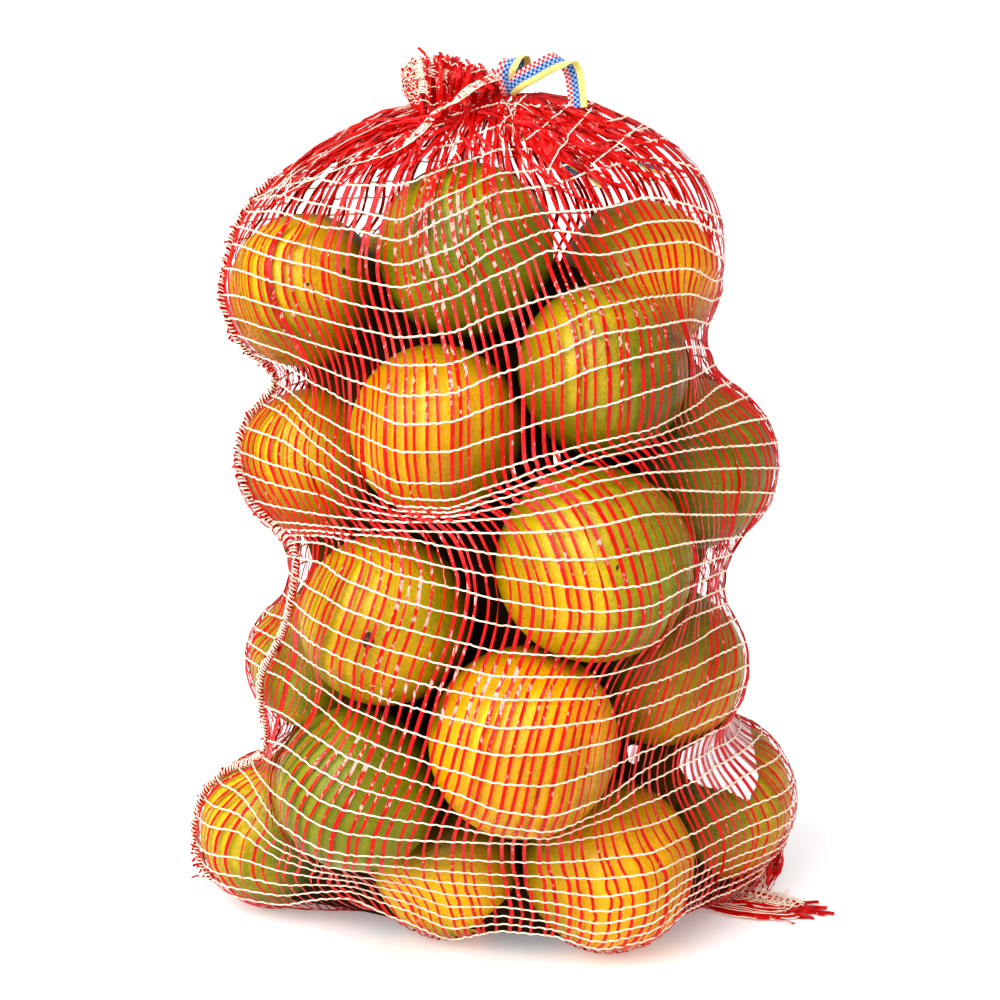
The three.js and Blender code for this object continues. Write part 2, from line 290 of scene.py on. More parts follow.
# heights of each row at each angle; on the front from the table, round the back blended
front = (TH > math.radians(182)) & (TH < math.radians(357))
ZROW = np.full((N_FRONT, N_TH), np.nan)
for a in np.where(front)[0]:
    f = phi[a][::-1]                       # from the top down, rising
    f = np.maximum.accumulate(f + np.arange(len(f)) * 1e-5)
    ZROW[:, a] = np.interp(row_k, f, ZS[::-1])
fa = np.where(front)[0]
for k in range(N_FRONT):
    zl, zr = ZROW[k, fa[0]], ZROW[k, fa[-1]]
    for a in np.where(~front)[0]:
        d = math.degrees(TH[a])
        d = d if d < 200 else d - 360        # -3 .. 182
        t = (d + 3) / 185.0
        t = t * t * (3 - 2 * t)
        ZROW[k, a] = zr + (zl - zr) * t
back_w = np.where(~front, np.sin(np.clip((np.degrees(TH) + 3) / 185.0, 0, 1) * math.pi), 0)
for k in range(N_FRONT):
    t = k / (N_FRONT - 1)
    wave = 5.0 * np.sin(2 * TH + 3.1 * t * 2 + 0.7) + 3.0 * np.sin(5 * TH + 9 * t)
    ZROW[k] += back_w * wave * math.sin(math.pi * min(1, max(0, t)))
# even spacing round the back
lev = np.interp(np.linspace(0, 1, N_FRONT), [0, 0.08, 1], [312.0, 291.0, 7.0])
ZROW += (lev[:, None] - ZROW) * (back_w[None, :] * 0.75)
for _ in range(3):
    ZROW = 0.5 * ZROW + 0.25 * (np.roll(ZROW, 1, 1) + np.roll(ZROW, -1, 1))
for k in range(1, N_FRONT):
    ZROW[k] = np.minimum(ZROW[k], ZROW[k - 1] - 0.8)
ZROW = np.clip(ZROW, 2.5, None)
for k in range(N_FRONT - 2, -1, -1):
    ZROW[k] = np.maximum(ZROW[k], ZROW[k + 1] + 0.5)


def zrow(k, th):
    u = (np.asarray(th) / (2 * math.pi) * N_TH) % N_TH
    i0 = np.floor(u).astype(int) % N_TH
    f = u - np.floor(u)
    return ZROW[k][i0] * (1 - f) + ZROW[k][(i0 + 1) % N_TH] * f


# ------------------------------------------------------------------ mesh helpers
def new_object(name, verts, faces, mat, smooth=True, uv=None, color=None, shift=True):
    """verts in mm; faces is a list of equal-sided index arrays."""
    v = np.asarray(verts, float).reshape(-1, 3)
    if shift:
        v = v + SHIFT
    mesh = bpy.data.meshes.new(name)
    groups = [np.asarray(f, np.int32) for f in faces if len(f)]
    idx = np.concatenate([g.ravel() for g in groups])
    totals = np.concatenate([np.full(len(g), g.shape[1], np.int32) for g in groups])
    starts = np.concatenate([[0], np.cumsum(totals)[:-1]]).astype(np.int32)
    mesh.vertices.add(len(v))
    mesh.vertices.foreach_set("co", (v * MM).astype(np.float32).ravel())
    mesh.loops.add(len(idx))
    mesh.loops.foreach_set("vertex_index", idx)
    mesh.polygons.add(len(totals))
    mesh.polygons.foreach_set("loop_start", starts)
    mesh.polygons.foreach_set("loop_total", totals)
    mesh.update(calc_edges=True)
    mesh.validate()
    mesh.polygons.foreach_set("use_smooth", np.full(len(mesh.polygons), smooth))
    if uv is not None:
        layer = mesh.uv_layers.new(name="UVMap")
        layer.data.foreach_set("uv", np.asarray(uv, np.float32)[idx].ravel())
    if color is not None:
        for cname, c in color.items():
            c = np.asarray(c, np.float32)
            if c.shape[1] == 3:
                c = np.hstack([c, np.ones((len(c), 1), np.float32)])
            att = mesh.color_attributes.new(name=cname, type="FLOAT_COLOR", domain="POINT")
            att.data.foreach_set("color", c.ravel())
    mesh.materials.append(mat)
    obj = bpy.data.objects.new(name, mesh)
    bpy.context.scene.collection.objects.link(obj)
    return obj


def unit(v):
    return v / np.maximum(np.linalg.norm(v, axis=-1, keepdims=True), 1e-9)


def sweep(path, side, out, width, thick, closed=False, profile=None):
    """Sweeps a section along paths. path, side, out: (M, S, 3); width, thick: (M, S) half sizes.
    Returns verts and quads (and cap quads)."""
    if profile is None:
        profile = np.array([(-1, 0), (0, 1), (1, 0), (0, -1)], float)
    M, S, _ = path.shape
    K = len(profile)
    v = (path[:, :, None, :]
         + side[:, :, None, :] * (width[:, :, None] * profile[None, None, :, 0])[..., None]
         + out[:, :, None, :] * (thick[:, :, None] * profile[None, None, :, 1])[..., None])
    base = (np.arange(M)[:, None, None] * S * K)
    st = np.arange(S if closed else S - 1)[None, :, None]
    nx = (st + 1) % S
    kk = np.arange(K)[None, None, :]
    k2 = (kk + 1) % K
    q = np.stack([base + st * K + kk, base + st * K + k2, base + nx * K + k2, base + nx * K + kk], -1).reshape(-1, 4)
    faces = [q]
    if not closed:
        a = (np.arange(M) * S * K)[:, None] + np.arange(K)[None, ::-1]
        b = (np.arange(M) * S * K + (S - 1) * K)[:, None] + np.arange(K)[None, :]
        faces += [a, b]
    return v.reshape(-1, 3), faces


def merge(parts):
    vs, groups, off = [], {}, 0
    for v, fs in parts:
        for f in fs:
            f = np.asarray(f)
            groups.setdefault(f.shape[1], []).append(f + off)
        vs.append(v)
        off += len(v)
    return np.concatenate(vs), [np.concatenate(g) for g in groups.values()]


# ------------------------------------------------------------------ materials
def material(name):
    mat = bpy.data.materials.new(name)
    mat.use_nodes = True
    nt = mat.node_tree
    bsdf = nt.nodes["Principled BSDF"]
    return mat, nt, bsdf


def node(nt, kind, **props):
    n = nt.nodes.new(kind)
    for k, v in props.items():
        setattr(n, k, v)
    return n


def srgb(r, g, b):
    def lin(c):
        c = c / 255.0
        return c / 12.92 if c <= 0.04045 else ((c + 0.055) / 1.055) ** 2.4
    return (lin(r), lin(g), lin(b), 1.0)


def noise(nt, scale, detail=3.0, rough=0.55, coord=None):
    n = node(nt, "ShaderNodeTexNoise")
    n.inputs["Scale"].default_value = scale
    n.inputs["Detail"].default_value = detail
    n.inputs["Roughness"].default_value = rough
    if coord is not None:
        nt.links.new(coord, n.inputs["Vector"])
    return n


def mix_color(nt, fac, a, b, mode="MIX"):
    m = node(nt, "ShaderNodeMix", data_type="RGBA", blend_type=mode)
    if isinstance(fac, (int, float)):
        m.inputs[0].default_value = fac
    else:
        nt.links.new(fac, m.inputs[0])
    for sock, val in ((m.inputs[6], a), (m.inputs[7], b)):
        if isinstance(val, tuple):
            sock.default_value = val
        else:
            nt.links.new(val, sock)
    return m.outputs[2]


def ramp(nt, fac, stops):
    r = node(nt, "ShaderNodeValToRGB")
    el = r.color_ramp.elements
    while len(el) > 1:
        el.remove(el[-1])
    el[0].position, el[0].color = stops[0][0], stops[0][1]
    for p, c in stops[1:]:
        e = el.new(p)
        e.color = c
    nt.links.new(fac, r.inputs[0])
    return r.outputs[0]


def map_range(nt, val, a, b, c, d):
    m = node(nt, "ShaderNodeMapRange")
    nt.links.new(val, m.inputs[0])
    for i, x in enumerate((a, b, c, d)):
        m.inputs[i + 1].default_value = x
    return m.outputs[0]


def peel_material():
    mat, nt, bsdf = material("orange_peel")
    tc = node(nt, "ShaderNodeTexCoord")
    obj = tc.outputs["Object"]
    att = node(nt, "ShaderNodeAttribute", attribute_name="skin")
    sep = node(nt, "ShaderNodeSeparateColor")
    nt.links.new(att.outputs["Color"], sep.inputs[0])
    green, warm, tone_and_shade = sep.outputs[0], sep.outputs[1], sep.outputs[2]
    n1 = noise(nt, 95.0, 4.0, 0.6, obj)
    n2 = noise(nt, 420.0, 3.0, 0.6, obj)
    warm_col = ramp(nt, warm, [(0.0, srgb(226, 203, 14)), (0.35, srgb(242, 206, 10)),
                               (0.65, srgb(253, 196, 8)), (1.0, srgb(255, 186, 8))])
    # mottled edge between ripe and green skin
    a = node(nt, "ShaderNodeMath", operation="MULTIPLY_ADD")
    nt.links.new(n1.outputs[0], a.inputs[0]); a.inputs[1].default_value = 0.75
    b = node(nt, "ShaderNodeMath", operation="ADD")
    nt.links.new(green, b.inputs[0]); b.inputs[1].default_value = -0.375
    nt.links.new(b.outputs[0], a.inputs[2])
    c = node(nt, "ShaderNodeMath", operation="MULTIPLY_ADD")
    nt.links.new(n2.outputs[0], c.inputs[0]); c.inputs[1].default_value = 0.34
    d = node(nt, "ShaderNodeMath", operation="ADD")
    nt.links.new(a.outputs[0], d.inputs[0]); d.inputs[1].default_value = -0.17
    nt.links.new(d.outputs[0], c.inputs[2])
    green_mask = map_range(nt, c.outputs[0], 0.10, 0.72, 0.0, 1.0)
    green_col = mix_color(nt, n1.outputs[0], srgb(100, 120, 12), srgb(170, 172, 18))
    col = mix_color(nt, green_mask, warm_col, green_col)
    # oil glands: fine darker and lighter dots
    vor = node(nt, "ShaderNodeTexVoronoi", feature="F1")
    vor.inputs["Scale"].default_value = 640.0
    nt.links.new(obj, vor.inputs["Vector"])
    pore = map_range(nt, vor.outputs["Distance"], 0.0, 0.55, 1.0, 0.0)
    dark = node(nt, "ShaderNodeMath", operation="MULTIPLY")
    nt.links.new(pore, dark.inputs[0]); dark.inputs[1].default_value = 0.26
    col = mix_color(nt, dark.outputs[0], col, srgb(150, 92, 12))
    blot = noise(nt, 1500.0, 2.0, 0.5, obj)
    speck = map_range(nt, blot.outputs[0], 0.66, 0.76, 0.0, 0.35)
    col = mix_color(nt, speck, col, srgb(96, 84, 22))
    # painted shade: the third skin channel darkens the colour, carrying each fruit's own tone and painted shade
    shade = map_range(nt, tone_and_shade, 0.0, 1.0, 0.04, 1.12)
    hs = node(nt, "ShaderNodeHueSaturation")
    nt.links.new(col, hs.inputs["Color"]); nt.links.new(shade, hs.inputs["Value"])
    nt.links.new(hs.outputs[0], bsdf.inputs["Base Color"])
    rough = map_range(nt, n2.outputs[0], 0.2, 0.8, 0.30, 0.44)
    nt.links.new(rough, bsdf.inputs["Roughness"])
    bsdf.inputs["Specular IOR Level"].default_value = 0.33
    bsdf.inputs["Subsurface Weight"].default_value = 0.0
    bump = node(nt, "ShaderNodeBump")
    bump.inputs["Strength"].default_value = 0.55
    bump.inputs["Distance"].default_value = 0.00035
    inv = node(nt, "ShaderNodeMath", operation="SUBTRACT")
    inv.inputs[0].default_value = 1.0
    nt.links.new(pore, inv.inputs[1])
    addn = node(nt, "ShaderNodeMath", operation="ADD")
    nt.links.new(inv.outputs[0], addn.inputs[0]); nt.links.new(n2.outputs[0], addn.inputs[1])
    nt.links.new(addn.outputs[0], bump.inputs["Height"])
    nt.links.new(bump.outputs[0], bsdf.inputs["Normal"])
    return mat


def tape_material(name="red_tape", base=(184, 5, 3), dark=(134, 3, 3), pale=(222, 44, 34)):
    mat, nt, bsdf = material(name)
    tc = node(nt, "ShaderNodeTexCoord")
    n1 = noise(nt, 130.0, 3.0, 0.7, tc.outputs["Object"])
    n2 = noise(nt, 900.0, 2.0, 0.6, tc.outputs["Object"])
    col = ramp(nt, n1.outputs[0], [(0.30, srgb(*dark)), (0.48, srgb(*base)), (0.66, srgb(*base)), (0.84, srgb(*pale))])
    # painted highlights: pale pink glint patches on the tapes, most of them where the net is stretched over the fruit
    flat = node(nt, "ShaderNodeVectorMath", operation="MULTIPLY")
    flat.inputs[1].default_value = (1.0, 1.0, 0.42)
    nt.links.new(tc.outputs["Object"], flat.inputs[0])
    n3 = noise(nt, 520.0, 2.0, 0.6, flat.outputs[0])
    att = node(nt, "ShaderNodeAttribute", attribute_name="painted_glint")
    sp = node(nt, "ShaderNodeSeparateColor")
    nt.links.new(att.outputs["Color"], sp.inputs[0])
    ma = node(nt, "ShaderNodeMath", operation="MULTIPLY_ADD")
    nt.links.new(sp.outputs[0], ma.inputs[0])
    ma.inputs[1].default_value = 0.20
    nt.links.new(n3.outputs[0], ma.inputs[2])
    painted_glint_fac = map_range(nt, ma.outputs[0], 0.665, 0.74, 0.0, 0.80)
    col = mix_color(nt, painted_glint_fac, col, srgb(250, 178, 170))
    nt.links.new(col, bsdf.inputs["Base Color"])
    rough = map_range(nt, n2.outputs[0], 0.2, 0.8, 0.20, 0.45)
    nt.links.new(rough, bsdf.inputs["Roughness"])
    bsdf.inputs["Specular IOR Level"].default_value = 0.24
    # painted glow: a faint red emission stands in for light passing through the thin tape
    bsdf.inputs["Emission Color"].default_value = srgb(210, 10, 8)
    bsdf.inputs["Emission Strength"].default_value = 0.10
    bump = node(nt, "ShaderNodeBump")
    bump.inputs["Strength"].default_value = 0.35
    bump.inputs["Distance"].default_value = 0.0002
    nt.links.new(n2.outputs[0], bump.inputs["Height"])
    nt.links.new(bump.outputs[0], bsdf.inputs["Normal"])
    return mat


def thread_material(name="white_thread", base=(236, 222, 200), tint=(228, 184, 164)):
    mat, nt, bsdf = material(name)
    tc = node(nt, "ShaderNodeTexCoord")
    n1 = noise(nt, 260.0, 3.0, 0.6, tc.outputs["Object"])
    n2 = noise(nt, 2600.0, 2.0, 0.6, tc.outputs["Object"])
    col = ramp(nt, n1.outputs[0], [(0.30, srgb(*tint)), (0.50, srgb(*base)), (1.0, srgb(255, 250, 240))])
    att = node(nt, "ShaderNodeAttribute", attribute_name="knot")
    sp = node(nt, "ShaderNodeSeparateColor")
    nt.links.new(att.outputs["Color"], sp.inputs[0])
    kf = map_range(nt, sp.outputs[0], 0.55, 1.0, 0.0, 0.55)
    col = mix_color(nt, kf, col, srgb(240, 130, 116))
    nt.links.new(col, bsdf.inputs["Base Color"])
    # painted glow: a faint warm white emission brightens the threads where they lie in shade
    bsdf.inputs["Emission Color"].default_value = srgb(250, 222, 206)
    bsdf.inputs["Emission Strength"].default_value = 0.06
    rough = map_range(nt, n1.outputs[0], 0.2, 0.8, 0.45, 0.7)
    nt.links.new(rough, bsdf.inputs["Roughness"])
    bump = node(nt, "ShaderNodeBump")
    bump.inputs["Strength"].default_value = 0.6
    bump.inputs["Distance"].default_value = 0.0002
    nt.links.new(n2.outputs[0], bump.inputs["Height"])
    nt.links.new(bump.outputs[0], bsdf.inputs["Normal"])
    return mat


def deep_shade_material():
    """Skin far inside the heap, where almost no light comes: painted shade in dark brown, mixed toward a painted lit
    brown by the skin attribute's third channel.
    """
    mat, nt, bsdf = material("deep_fruit_painted_shade")
    tc = node(nt, "ShaderNodeTexCoord")
    att = node(nt, "ShaderNodeAttribute", attribute_name="skin")
    sep = node(nt, "ShaderNodeSeparateColor")
    nt.links.new(att.outputs["Color"], sep.inputs[0])
    n = noise(nt, 60.0, 3.0, 0.6, tc.outputs["Object"])
    # painted shade: near-black brown, and a painted lit copy in warmer brown
    dark = mix_color(nt, n.outputs[0], srgb(34, 22, 12), srgb(52, 38, 16))
    painted_lit = mix_color(nt, n.outputs[0], srgb(122, 78, 20), srgb(108, 92, 28))
    col = mix_color(nt, sep.outputs[2], dark, painted_lit)
    nt.links.new(col, bsdf.inputs["Base Color"])
    nt.links.new(map_range(nt, n.outputs[0], 0.2, 0.8, 0.75, 0.95), bsdf.inputs["Roughness"])
    bsdf.inputs["Specular IOR Level"].default_value = 0.05
    bump = node(nt, "ShaderNodeBump")
    bump.inputs["Strength"].default_value = 0.4
    bump.inputs["Distance"].default_value = 0.0003
    nt.links.new(n.outputs[0], bump.inputs["Height"])
    nt.links.new(bump.outputs[0], bsdf.inputs["Normal"])
    return mat


PEEL = peel_material()
DEEP_SHADE = deep_shade_material()
RED = tape_material()
WHITE = thread_material()

# ------------------------------------------------------------------ oranges
import bmesh


def ico(sub):
    bm = bmesh.new()
    bmesh.ops.create_icosphere(bm, subdivisions=sub, radius=1.0)
    v = np.array([x.co[:] for x in bm.verts])
    f = np.array([[x.index for x in p.verts] for p in bm.faces])
    bm.free()
    return v, f


def wobble(dirs, seed, freqs=(1.3, 2.1, 3.7), amps=(1.0, 0.6, 0.35)):
    """Smooth pseudo-random field on the sphere, about -1 .. 1."""
    r = np.random.default_rng(seed)
    out = np.zeros(len(dirs))
    tot = 0
    for f, a in zip(freqs, amps):
        for _ in range(4):
            d = unit(r.normal(size=3))
            out += a * np.sin(f * 2.2 * (dirs @ d) + r.uniform(0, 6.28)) / 2.0
        tot += a
    return out / tot


IV5, IF5 = ico(5)
IV4, IF4 = ico(4)
LIGHT = unit(np.array([-0.5, -0.7, 0.6]))


def hollow_shade(v, me):
    """Skin deep between its neighbours gets little light: 1 in the open, near 0 in the deepest gaps."""
    d = v - np.array([0, AXIS_Y, 0])
    th = np.arctan2(d[:, 1], d[:, 0]) % (2 * math.pi)
    depth = at(R_SMOOTH_IN, th, np.clip(v[:, 2], 1, 320)) - np.hypot(d[:, 0], d[:, 1])
    deep = 1.0 - 0.85 * np.clip((depth - 9.0) / 26.0, 0, 1)
    near = np.full(len(v), 99.0)
    for j, (c, r) in enumerate(zip(FC, FR)):
        if j != me:
            near = np.minimum(near, np.linalg.norm(v - c, axis=1) - r)
    close = 1.0 - 0.55 * np.exp(-np.clip(near, 0, None) / 2.6)
    return deep * close


# per-fruit brightness factors: partly each fruit's own tone, partly painted shade on fruits in shadow and painted light
# on fruits in the light
FRUIT_TONE_AND_SHADE = {"A": 1.0, "B": 1.30, "C": 1.16, "D": 0.66, "E": 1.05, "G": 0.85, "H": 1.0, "I": 0.95, "J": 1.1, "K": 0.85,
        "L": 1.15, "M": 1.08, "N": 0.82, "P": 1.4, "Q": 1.12}
ov, of, oc = [], [], []
calyx_parts = []
off = 0
R_SMOOTH_IN = RS
for n, (name, cx, cy, cz, r, gdir, g0, g1, warm) in enumerate(FRUIT):
    seed = 100 + n
    IV, IF = (IV5, IF5) if n < 17 else (IV4, IF4)
    rr = np.random.default_rng(seed)
    # the stem end points in a chosen or random direction
    stem = unit(rr.normal(size=3) + np.array([0, 0.8, 0.0]))
    if name == "I":
        ray = unit(from_px(365.5, 641.0, 0.0) - CAM_P)
        to_c = CAM_P - np.array([cx, cy, cz])
        b_ = ray @ to_c
        stem = unit(to_c + ray * (-b_ - math.sqrt(b_ * b_ - to_c @ to_c + r * r)))
    if name in ("P", "Q", "O"):
        stem = unit(np.array([0.1, 0.9, 0.25]))
    if name == "H":
        stem = unit(np.array([0.2, 0.75, -0.6]))
    along = IV @ stem
    w = wobble(IV, seed)
    shape = 1.0 - 0.028 * along ** 2 - 0.012 * (0.5 + 0.5 * w)
    shape -= 0.055 * np.exp(-((1 - along) / 0.022)) + 0.012 * np.exp(-((1 + along) / 0.02))
    fine = wobble(IV, seed + 500, (7.0, 12.0, 19.0), (0.6, 0.6, 0.8))
    shape += 0.0011 * fine
    v = IV * ((r - 0.15) * shape)[:, None] + np.array([cx, cy, cz])
    v[:, 2] = np.maximum(v[:, 2], 0.75)
    gd = unit(np.array(gdir, float))
    t = (IV @ gd) * 0.5 + 0.5
    g = g0 + (g1 - g0) * t + 0.20 * wobble(IV, seed + 900, (1.8, 3.2, 5.5))
    wv = warm + 0.22 * wobble(IV, seed + 1200)
    tone_and_shade = 0.62 + 0.17 * wobble(IV, seed + 1500, (1.2, 2.6, 5.0))
    tone_and_shade = tone_and_shade - (0.22 if name == "I" else 0.35) * np.exp(-((1 - along) / (0.012 if name == "I" else 0.03)))
    # painted shade: the skin tone darkened deep in the heap and close to a neighbour (less so on C), then scaled per
    # fruit
    tone_and_shade = tone_and_shade * hollow_shade(v, n) ** (0.4 if name == "C" else 1.0) * FRUIT_TONE_AND_SHADE.get(name, 1.0)
    if n in (9, 17):
        off = 0
    ov.append(v); of.append(IF + off); off += len(IV)
    oc.append(np.stack([np.clip(g, 0, 1), np.clip(wv, 0, 1), np.clip(tone_and_shade, 0, 1)], -1))
    # calyx: a small star button in the dimple
    a = unit(np.cross(stem, [0.3, 0.2, 1.0])); b = np.cross(stem, a)
    c0 = np.array([cx, cy, cz]) + stem * (r - 0.65) * (1 - 0.028 - 0.060)
    pts = [c0 + stem * 1.0]
    K = 20
    for ring, (rad, h) in enumerate([(0.9, 1.15), (1.6, 0.75), (2.6, 0.75), (3.0, 0.2)]):
        rad = rad * (0.46 if name == "I" else 1.0)
        for k in range(K):
            ang = 2 * math.pi * k / K
            star = 1 + (0.16 * math.cos(5 * ang) if ring >= 2 else 0)
            pts.append(c0 + stem * h + (a * math.cos(ang) + b * math.sin(ang)) * rad * star)
    tri = [[0, 1 + k, 1 + (k + 1) % K] for k in range(K)]
    quads = []
    for ring in range(3):
        for k in range(K):
            p, q = 1 + ring * K + k, 1 + ring * K + (k + 1) % K
            quads.append([p, p + K, q + K, q])
    low = len(pts); pts.append(c0 - stem * 0.4)
    tri += [[low, 1 + 3 * K + (k + 1) % K, 1 + 3 * K + k] for k in range(K)]
    calyx_parts.append((np.array(pts), [np.array(tri), np.array(quads)]))
oranges = new_object("oranges_front", np.concatenate(ov[:9]), [np.concatenate(of[:9])], PEEL,
                     color={"skin": np.concatenate(oc[:9])})
oranges_b = new_object("oranges_low", np.concatenate(ov[9:17]), [np.concatenate(of[9:17])], PEEL,
                       color={"skin": np.concatenate(oc[9:17])})
oranges_c = new_object("oranges_back", np.concatenate(ov[17:]), [np.concatenate(of[17:])], PEEL,
                       color={"skin": np.concatenate(oc[17:])})

# the fruit deep inside, painted dark as the shade seen between the outer ones; its low foot spreads under the fruit as
# a painted contact shadow
ct, cz = 72, 60
cth = np.arange(ct) * 2 * math.pi / ct
czs = np.concatenate([np.linspace(3, 24, 14), np.linspace(28, 262, cz - 14)])
CT, CZ = np.meshgrid(cth, czs, indexing="ij")
cr = at(RS, CT.ravel(), CZ.ravel()).reshape(CT.shape)
lump = 1 + 0.045 * np.sin(5 * CT + 0.08 * CZ) * np.sin(0.11 * CZ + 2 * CT)
fall = np.clip((272 - CZ) / 26.0, 0.12, 1) ** 0.5 * np.clip(0.66 + (CZ - 3.0) / 19.0, 0, 1)
ys = 0.46 + 0.37 * np.exp(-((CZ - 15.0) / 12.0) ** 2)
low_w = np.exp(-((CZ - 8.0) / 8.0) ** 2)
ys = np.maximum(ys, 0.90 * low_w)
core = np.stack([cr * np.cos(CT) * 0.90 * lump * fall, AXIS_Y + 8 - 7 * low_w + cr * np.sin(CT) * ys * lump * fall, CZ], -1)
core_v = np.vstack([core.reshape(-1, 3), [[0, AXIS_Y + 8, 2.6]], [[0, AXIS_Y + 8, 263.0]]])
# painted light: the core's colour lightens toward its left and right sides, above its foot
core_painted_light = np.clip((np.abs(core_v[:, 0]) - 48.0) / 34.0, 0, 1) * np.clip((core_v[:, 2] - 20) / 30.0, 0, 1)
ii, jj = np.meshgrid(np.arange(ct), np.arange(cz - 1), indexing="ij")
ii, jj = ii.ravel(), jj.ravel()
i2 = (ii + 1) % ct
core_q = np.stack([ii * cz + jj, i2 * cz + jj, i2 * cz + jj + 1, ii * cz + jj + 1], -1)
k0 = np.arange(ct)
core_t = np.vstack([np.stack([np.full(ct, ct * cz), ((k0 + 1) % ct) * cz, k0 * cz], -1),
                    np.stack([np.full(ct, ct * cz + 1), k0 * cz + cz - 1, ((k0 + 1) % ct) * cz + cz - 1], -1)])
inner = new_object("inner_fruit_painted_shade", core_v, [core_q, core_t], DEEP_SHADE,
                   color={"skin": np.stack([np.full(len(core_v), 0.5), np.full(len(core_v), 0.6), core_painted_light], -1)})


def calyx_material():
    mat, nt, bsdf = material("calyx")
    tc = node(nt, "ShaderNodeTexCoord")
    n = noise(nt, 900.0, 3.0, 0.6, tc.outputs["Object"])
    col = ramp(nt, n.outputs[0], [(0.3, srgb(70, 62, 34)), (0.6, srgb(128, 116, 74)), (0.9, srgb(176, 160, 120))])
    nt.links.new(col, bsdf.inputs["Base Color"])
    nt.links.new(map_range(nt, n.outputs[0], 0.2, 0.8, 0.6, 0.9), bsdf.inputs["Roughness"])
    bump = node(nt, "ShaderNodeBump")
    bump.inputs["Strength"].default_value = 0.6
    bump.inputs["Distance"].default_value = 0.0003
    nt.links.new(n.outputs[0], bump.inputs["Height"])
    nt.links.new(bump.outputs[0], bsdf.inputs["Normal"])
    return mat


cv, cfa = merge(calyx_parts)
calyx = new_object("calyx_buttons", cv, cfa, calyx_material())

# ------------------------------------------------------------------ red tapes
N_TAPE = 130
HI = 1440
TH_HI = np.arange(HI) * 2 * math.pi / HI

# where the side seam runs on the left, by height in the picture frame
SEAM_LINE = [(90, 400), (150, 300), (180, 262), (215, 237), (260, 224), (290, 224), (345, 242), (380, 262), (405, 252),
             (450, 240), (500, 252), (545, 297), (590, 300), (618, 292), (650, 270), (690, 263),
             (730, 270), (748, 262), (757, 240), (768, 215), (800, 199), (840, 192), (870, 195), (890, 208), (940, 240)]
SL_Y = np.array([a for a, b in SEAM_LINE], float)
SL_X = np.array([b for a, b in SEAM_LINE], float)


def row_curve(zs_at):
    """The closed curve at heights zs_at over TH_HI."""
    return at(SURF, TH_HI, zs_at)


def seam_index(curve):
    """Index on TH_HI where the seam crosses this curve, on the left silhouette or a little in front."""
    x, y = to_px(curve)
    lo, hi = int(HI * 165 / 360), int(HI * 222 / 360)
    want = np.interp(y[lo:hi], SL_Y, SL_X)
    d = x[lo:hi] - want
    sil = lo + int(np.argmin(x[lo:hi]))
    # from the silhouette forward, the first place that reaches the wanted line
    for k in range(sil, hi):
        if x[k] >= np.interp(y[k], SL_Y, SL_X):
            return k
    return sil


# rows at the mouth, above the first one of the table
TOP_Z = np.array([MOUTH_Z - 0.5, MOUTH_Z - 2.5, MOUTH_Z - 5.5, MOUTH_Z - 9.0])
N_TOP = len(TOP_Z)
N_ALL = N_TOP + N_FRONT
ZALL = np.zeros((N_ALL, HI))
u_hi = np.arange(HI) * N_TH / HI
for k in range(N_FRONT):
    ZALL[N_TOP + k] = zrow(k, TH_HI)
for k in range(N_TOP):
    ZALL[k] = np.maximum(TOP_Z[k], ZALL[N_TOP] + (N_TOP - k) * 1.2)
    ZALL[k] = np.minimum(ZALL[k], MOUTH_Z - 0.4 - 0.3 * k)
for k in range(N_ALL - 2, -1, -1):
    ZALL[k] = np.maximum(ZALL[k], ZALL[k + 1] + 0.25)
ZALL = np.minimum(ZALL, MOUTH_Z - 0.1)

SEAM_K = np.zeros(N_ALL)
LEN_K = np.zeros(N_ALL)
CUM = np.zeros((N_ALL, HI + 1))
for k in range(N_ALL):
    c = row_curve(ZALL[k])
    seg = np.linalg.norm(np.roll(c, -1, 0) - c, axis=1)
    CUM[k] = np.concatenate([[0], np.cumsum(seg)])
    SEAM_K[k] = seam_index(c)
SEAM_S = np.convolve(np.pad(SEAM_K, 2, mode="edge"), [0.15, 0.2, 0.3, 0.2, 0.15], "valid")
SEAM_S[:N_TOP + 3] = SEAM_S[N_TOP + 3]
idx_ext = np.arange(HI + 1)


S_MID = np.array([CUM[k][int(HI * 0.75)] for k in range(N_ALL)])
S_SEAM = np.array([np.interp(SEAM_S[k], idx_ext, CUM[k]) for k in range(N_ALL)])
F_MID = ((S_MID - S_SEAM) % CUM[:, -1]) / CUM[:, -1]
K_LOW = N_TOP + int(np.argmax(ROWS[:, 2] > 650))      # below this row the front hangs straight past the seam's turns
F_EFF = F_MID.copy()
for k in range(K_LOW + 1, N_ALL):
    F_EFF[k] = F_MID[K_LOW] + 0.22 * (F_MID[k] - F_MID[K_LOW])
F_EFF = np.convolve(np.pad(F_EFF, 2, mode="edge"), np.ones(5) / 5, "valid")


def theta_k(k, frac):
    """Angles at which the shares frac of row k, from the seam, lie (spaced evenly along the thread)."""
    frac = np.asarray(frac)
    L = CUM[k][-1]
    near = (1 - np.exp(-frac * N_TAPE / 9)) * (1 - np.exp(-(1 - frac) * N_TAPE / 9))
    s = (S_SEAM[k] + frac * L + (F_MID[k] - F_EFF[k]) * L * near) % L
    return np.interp(s, CUM[k], idx_ext) * 2 * math.pi / HI


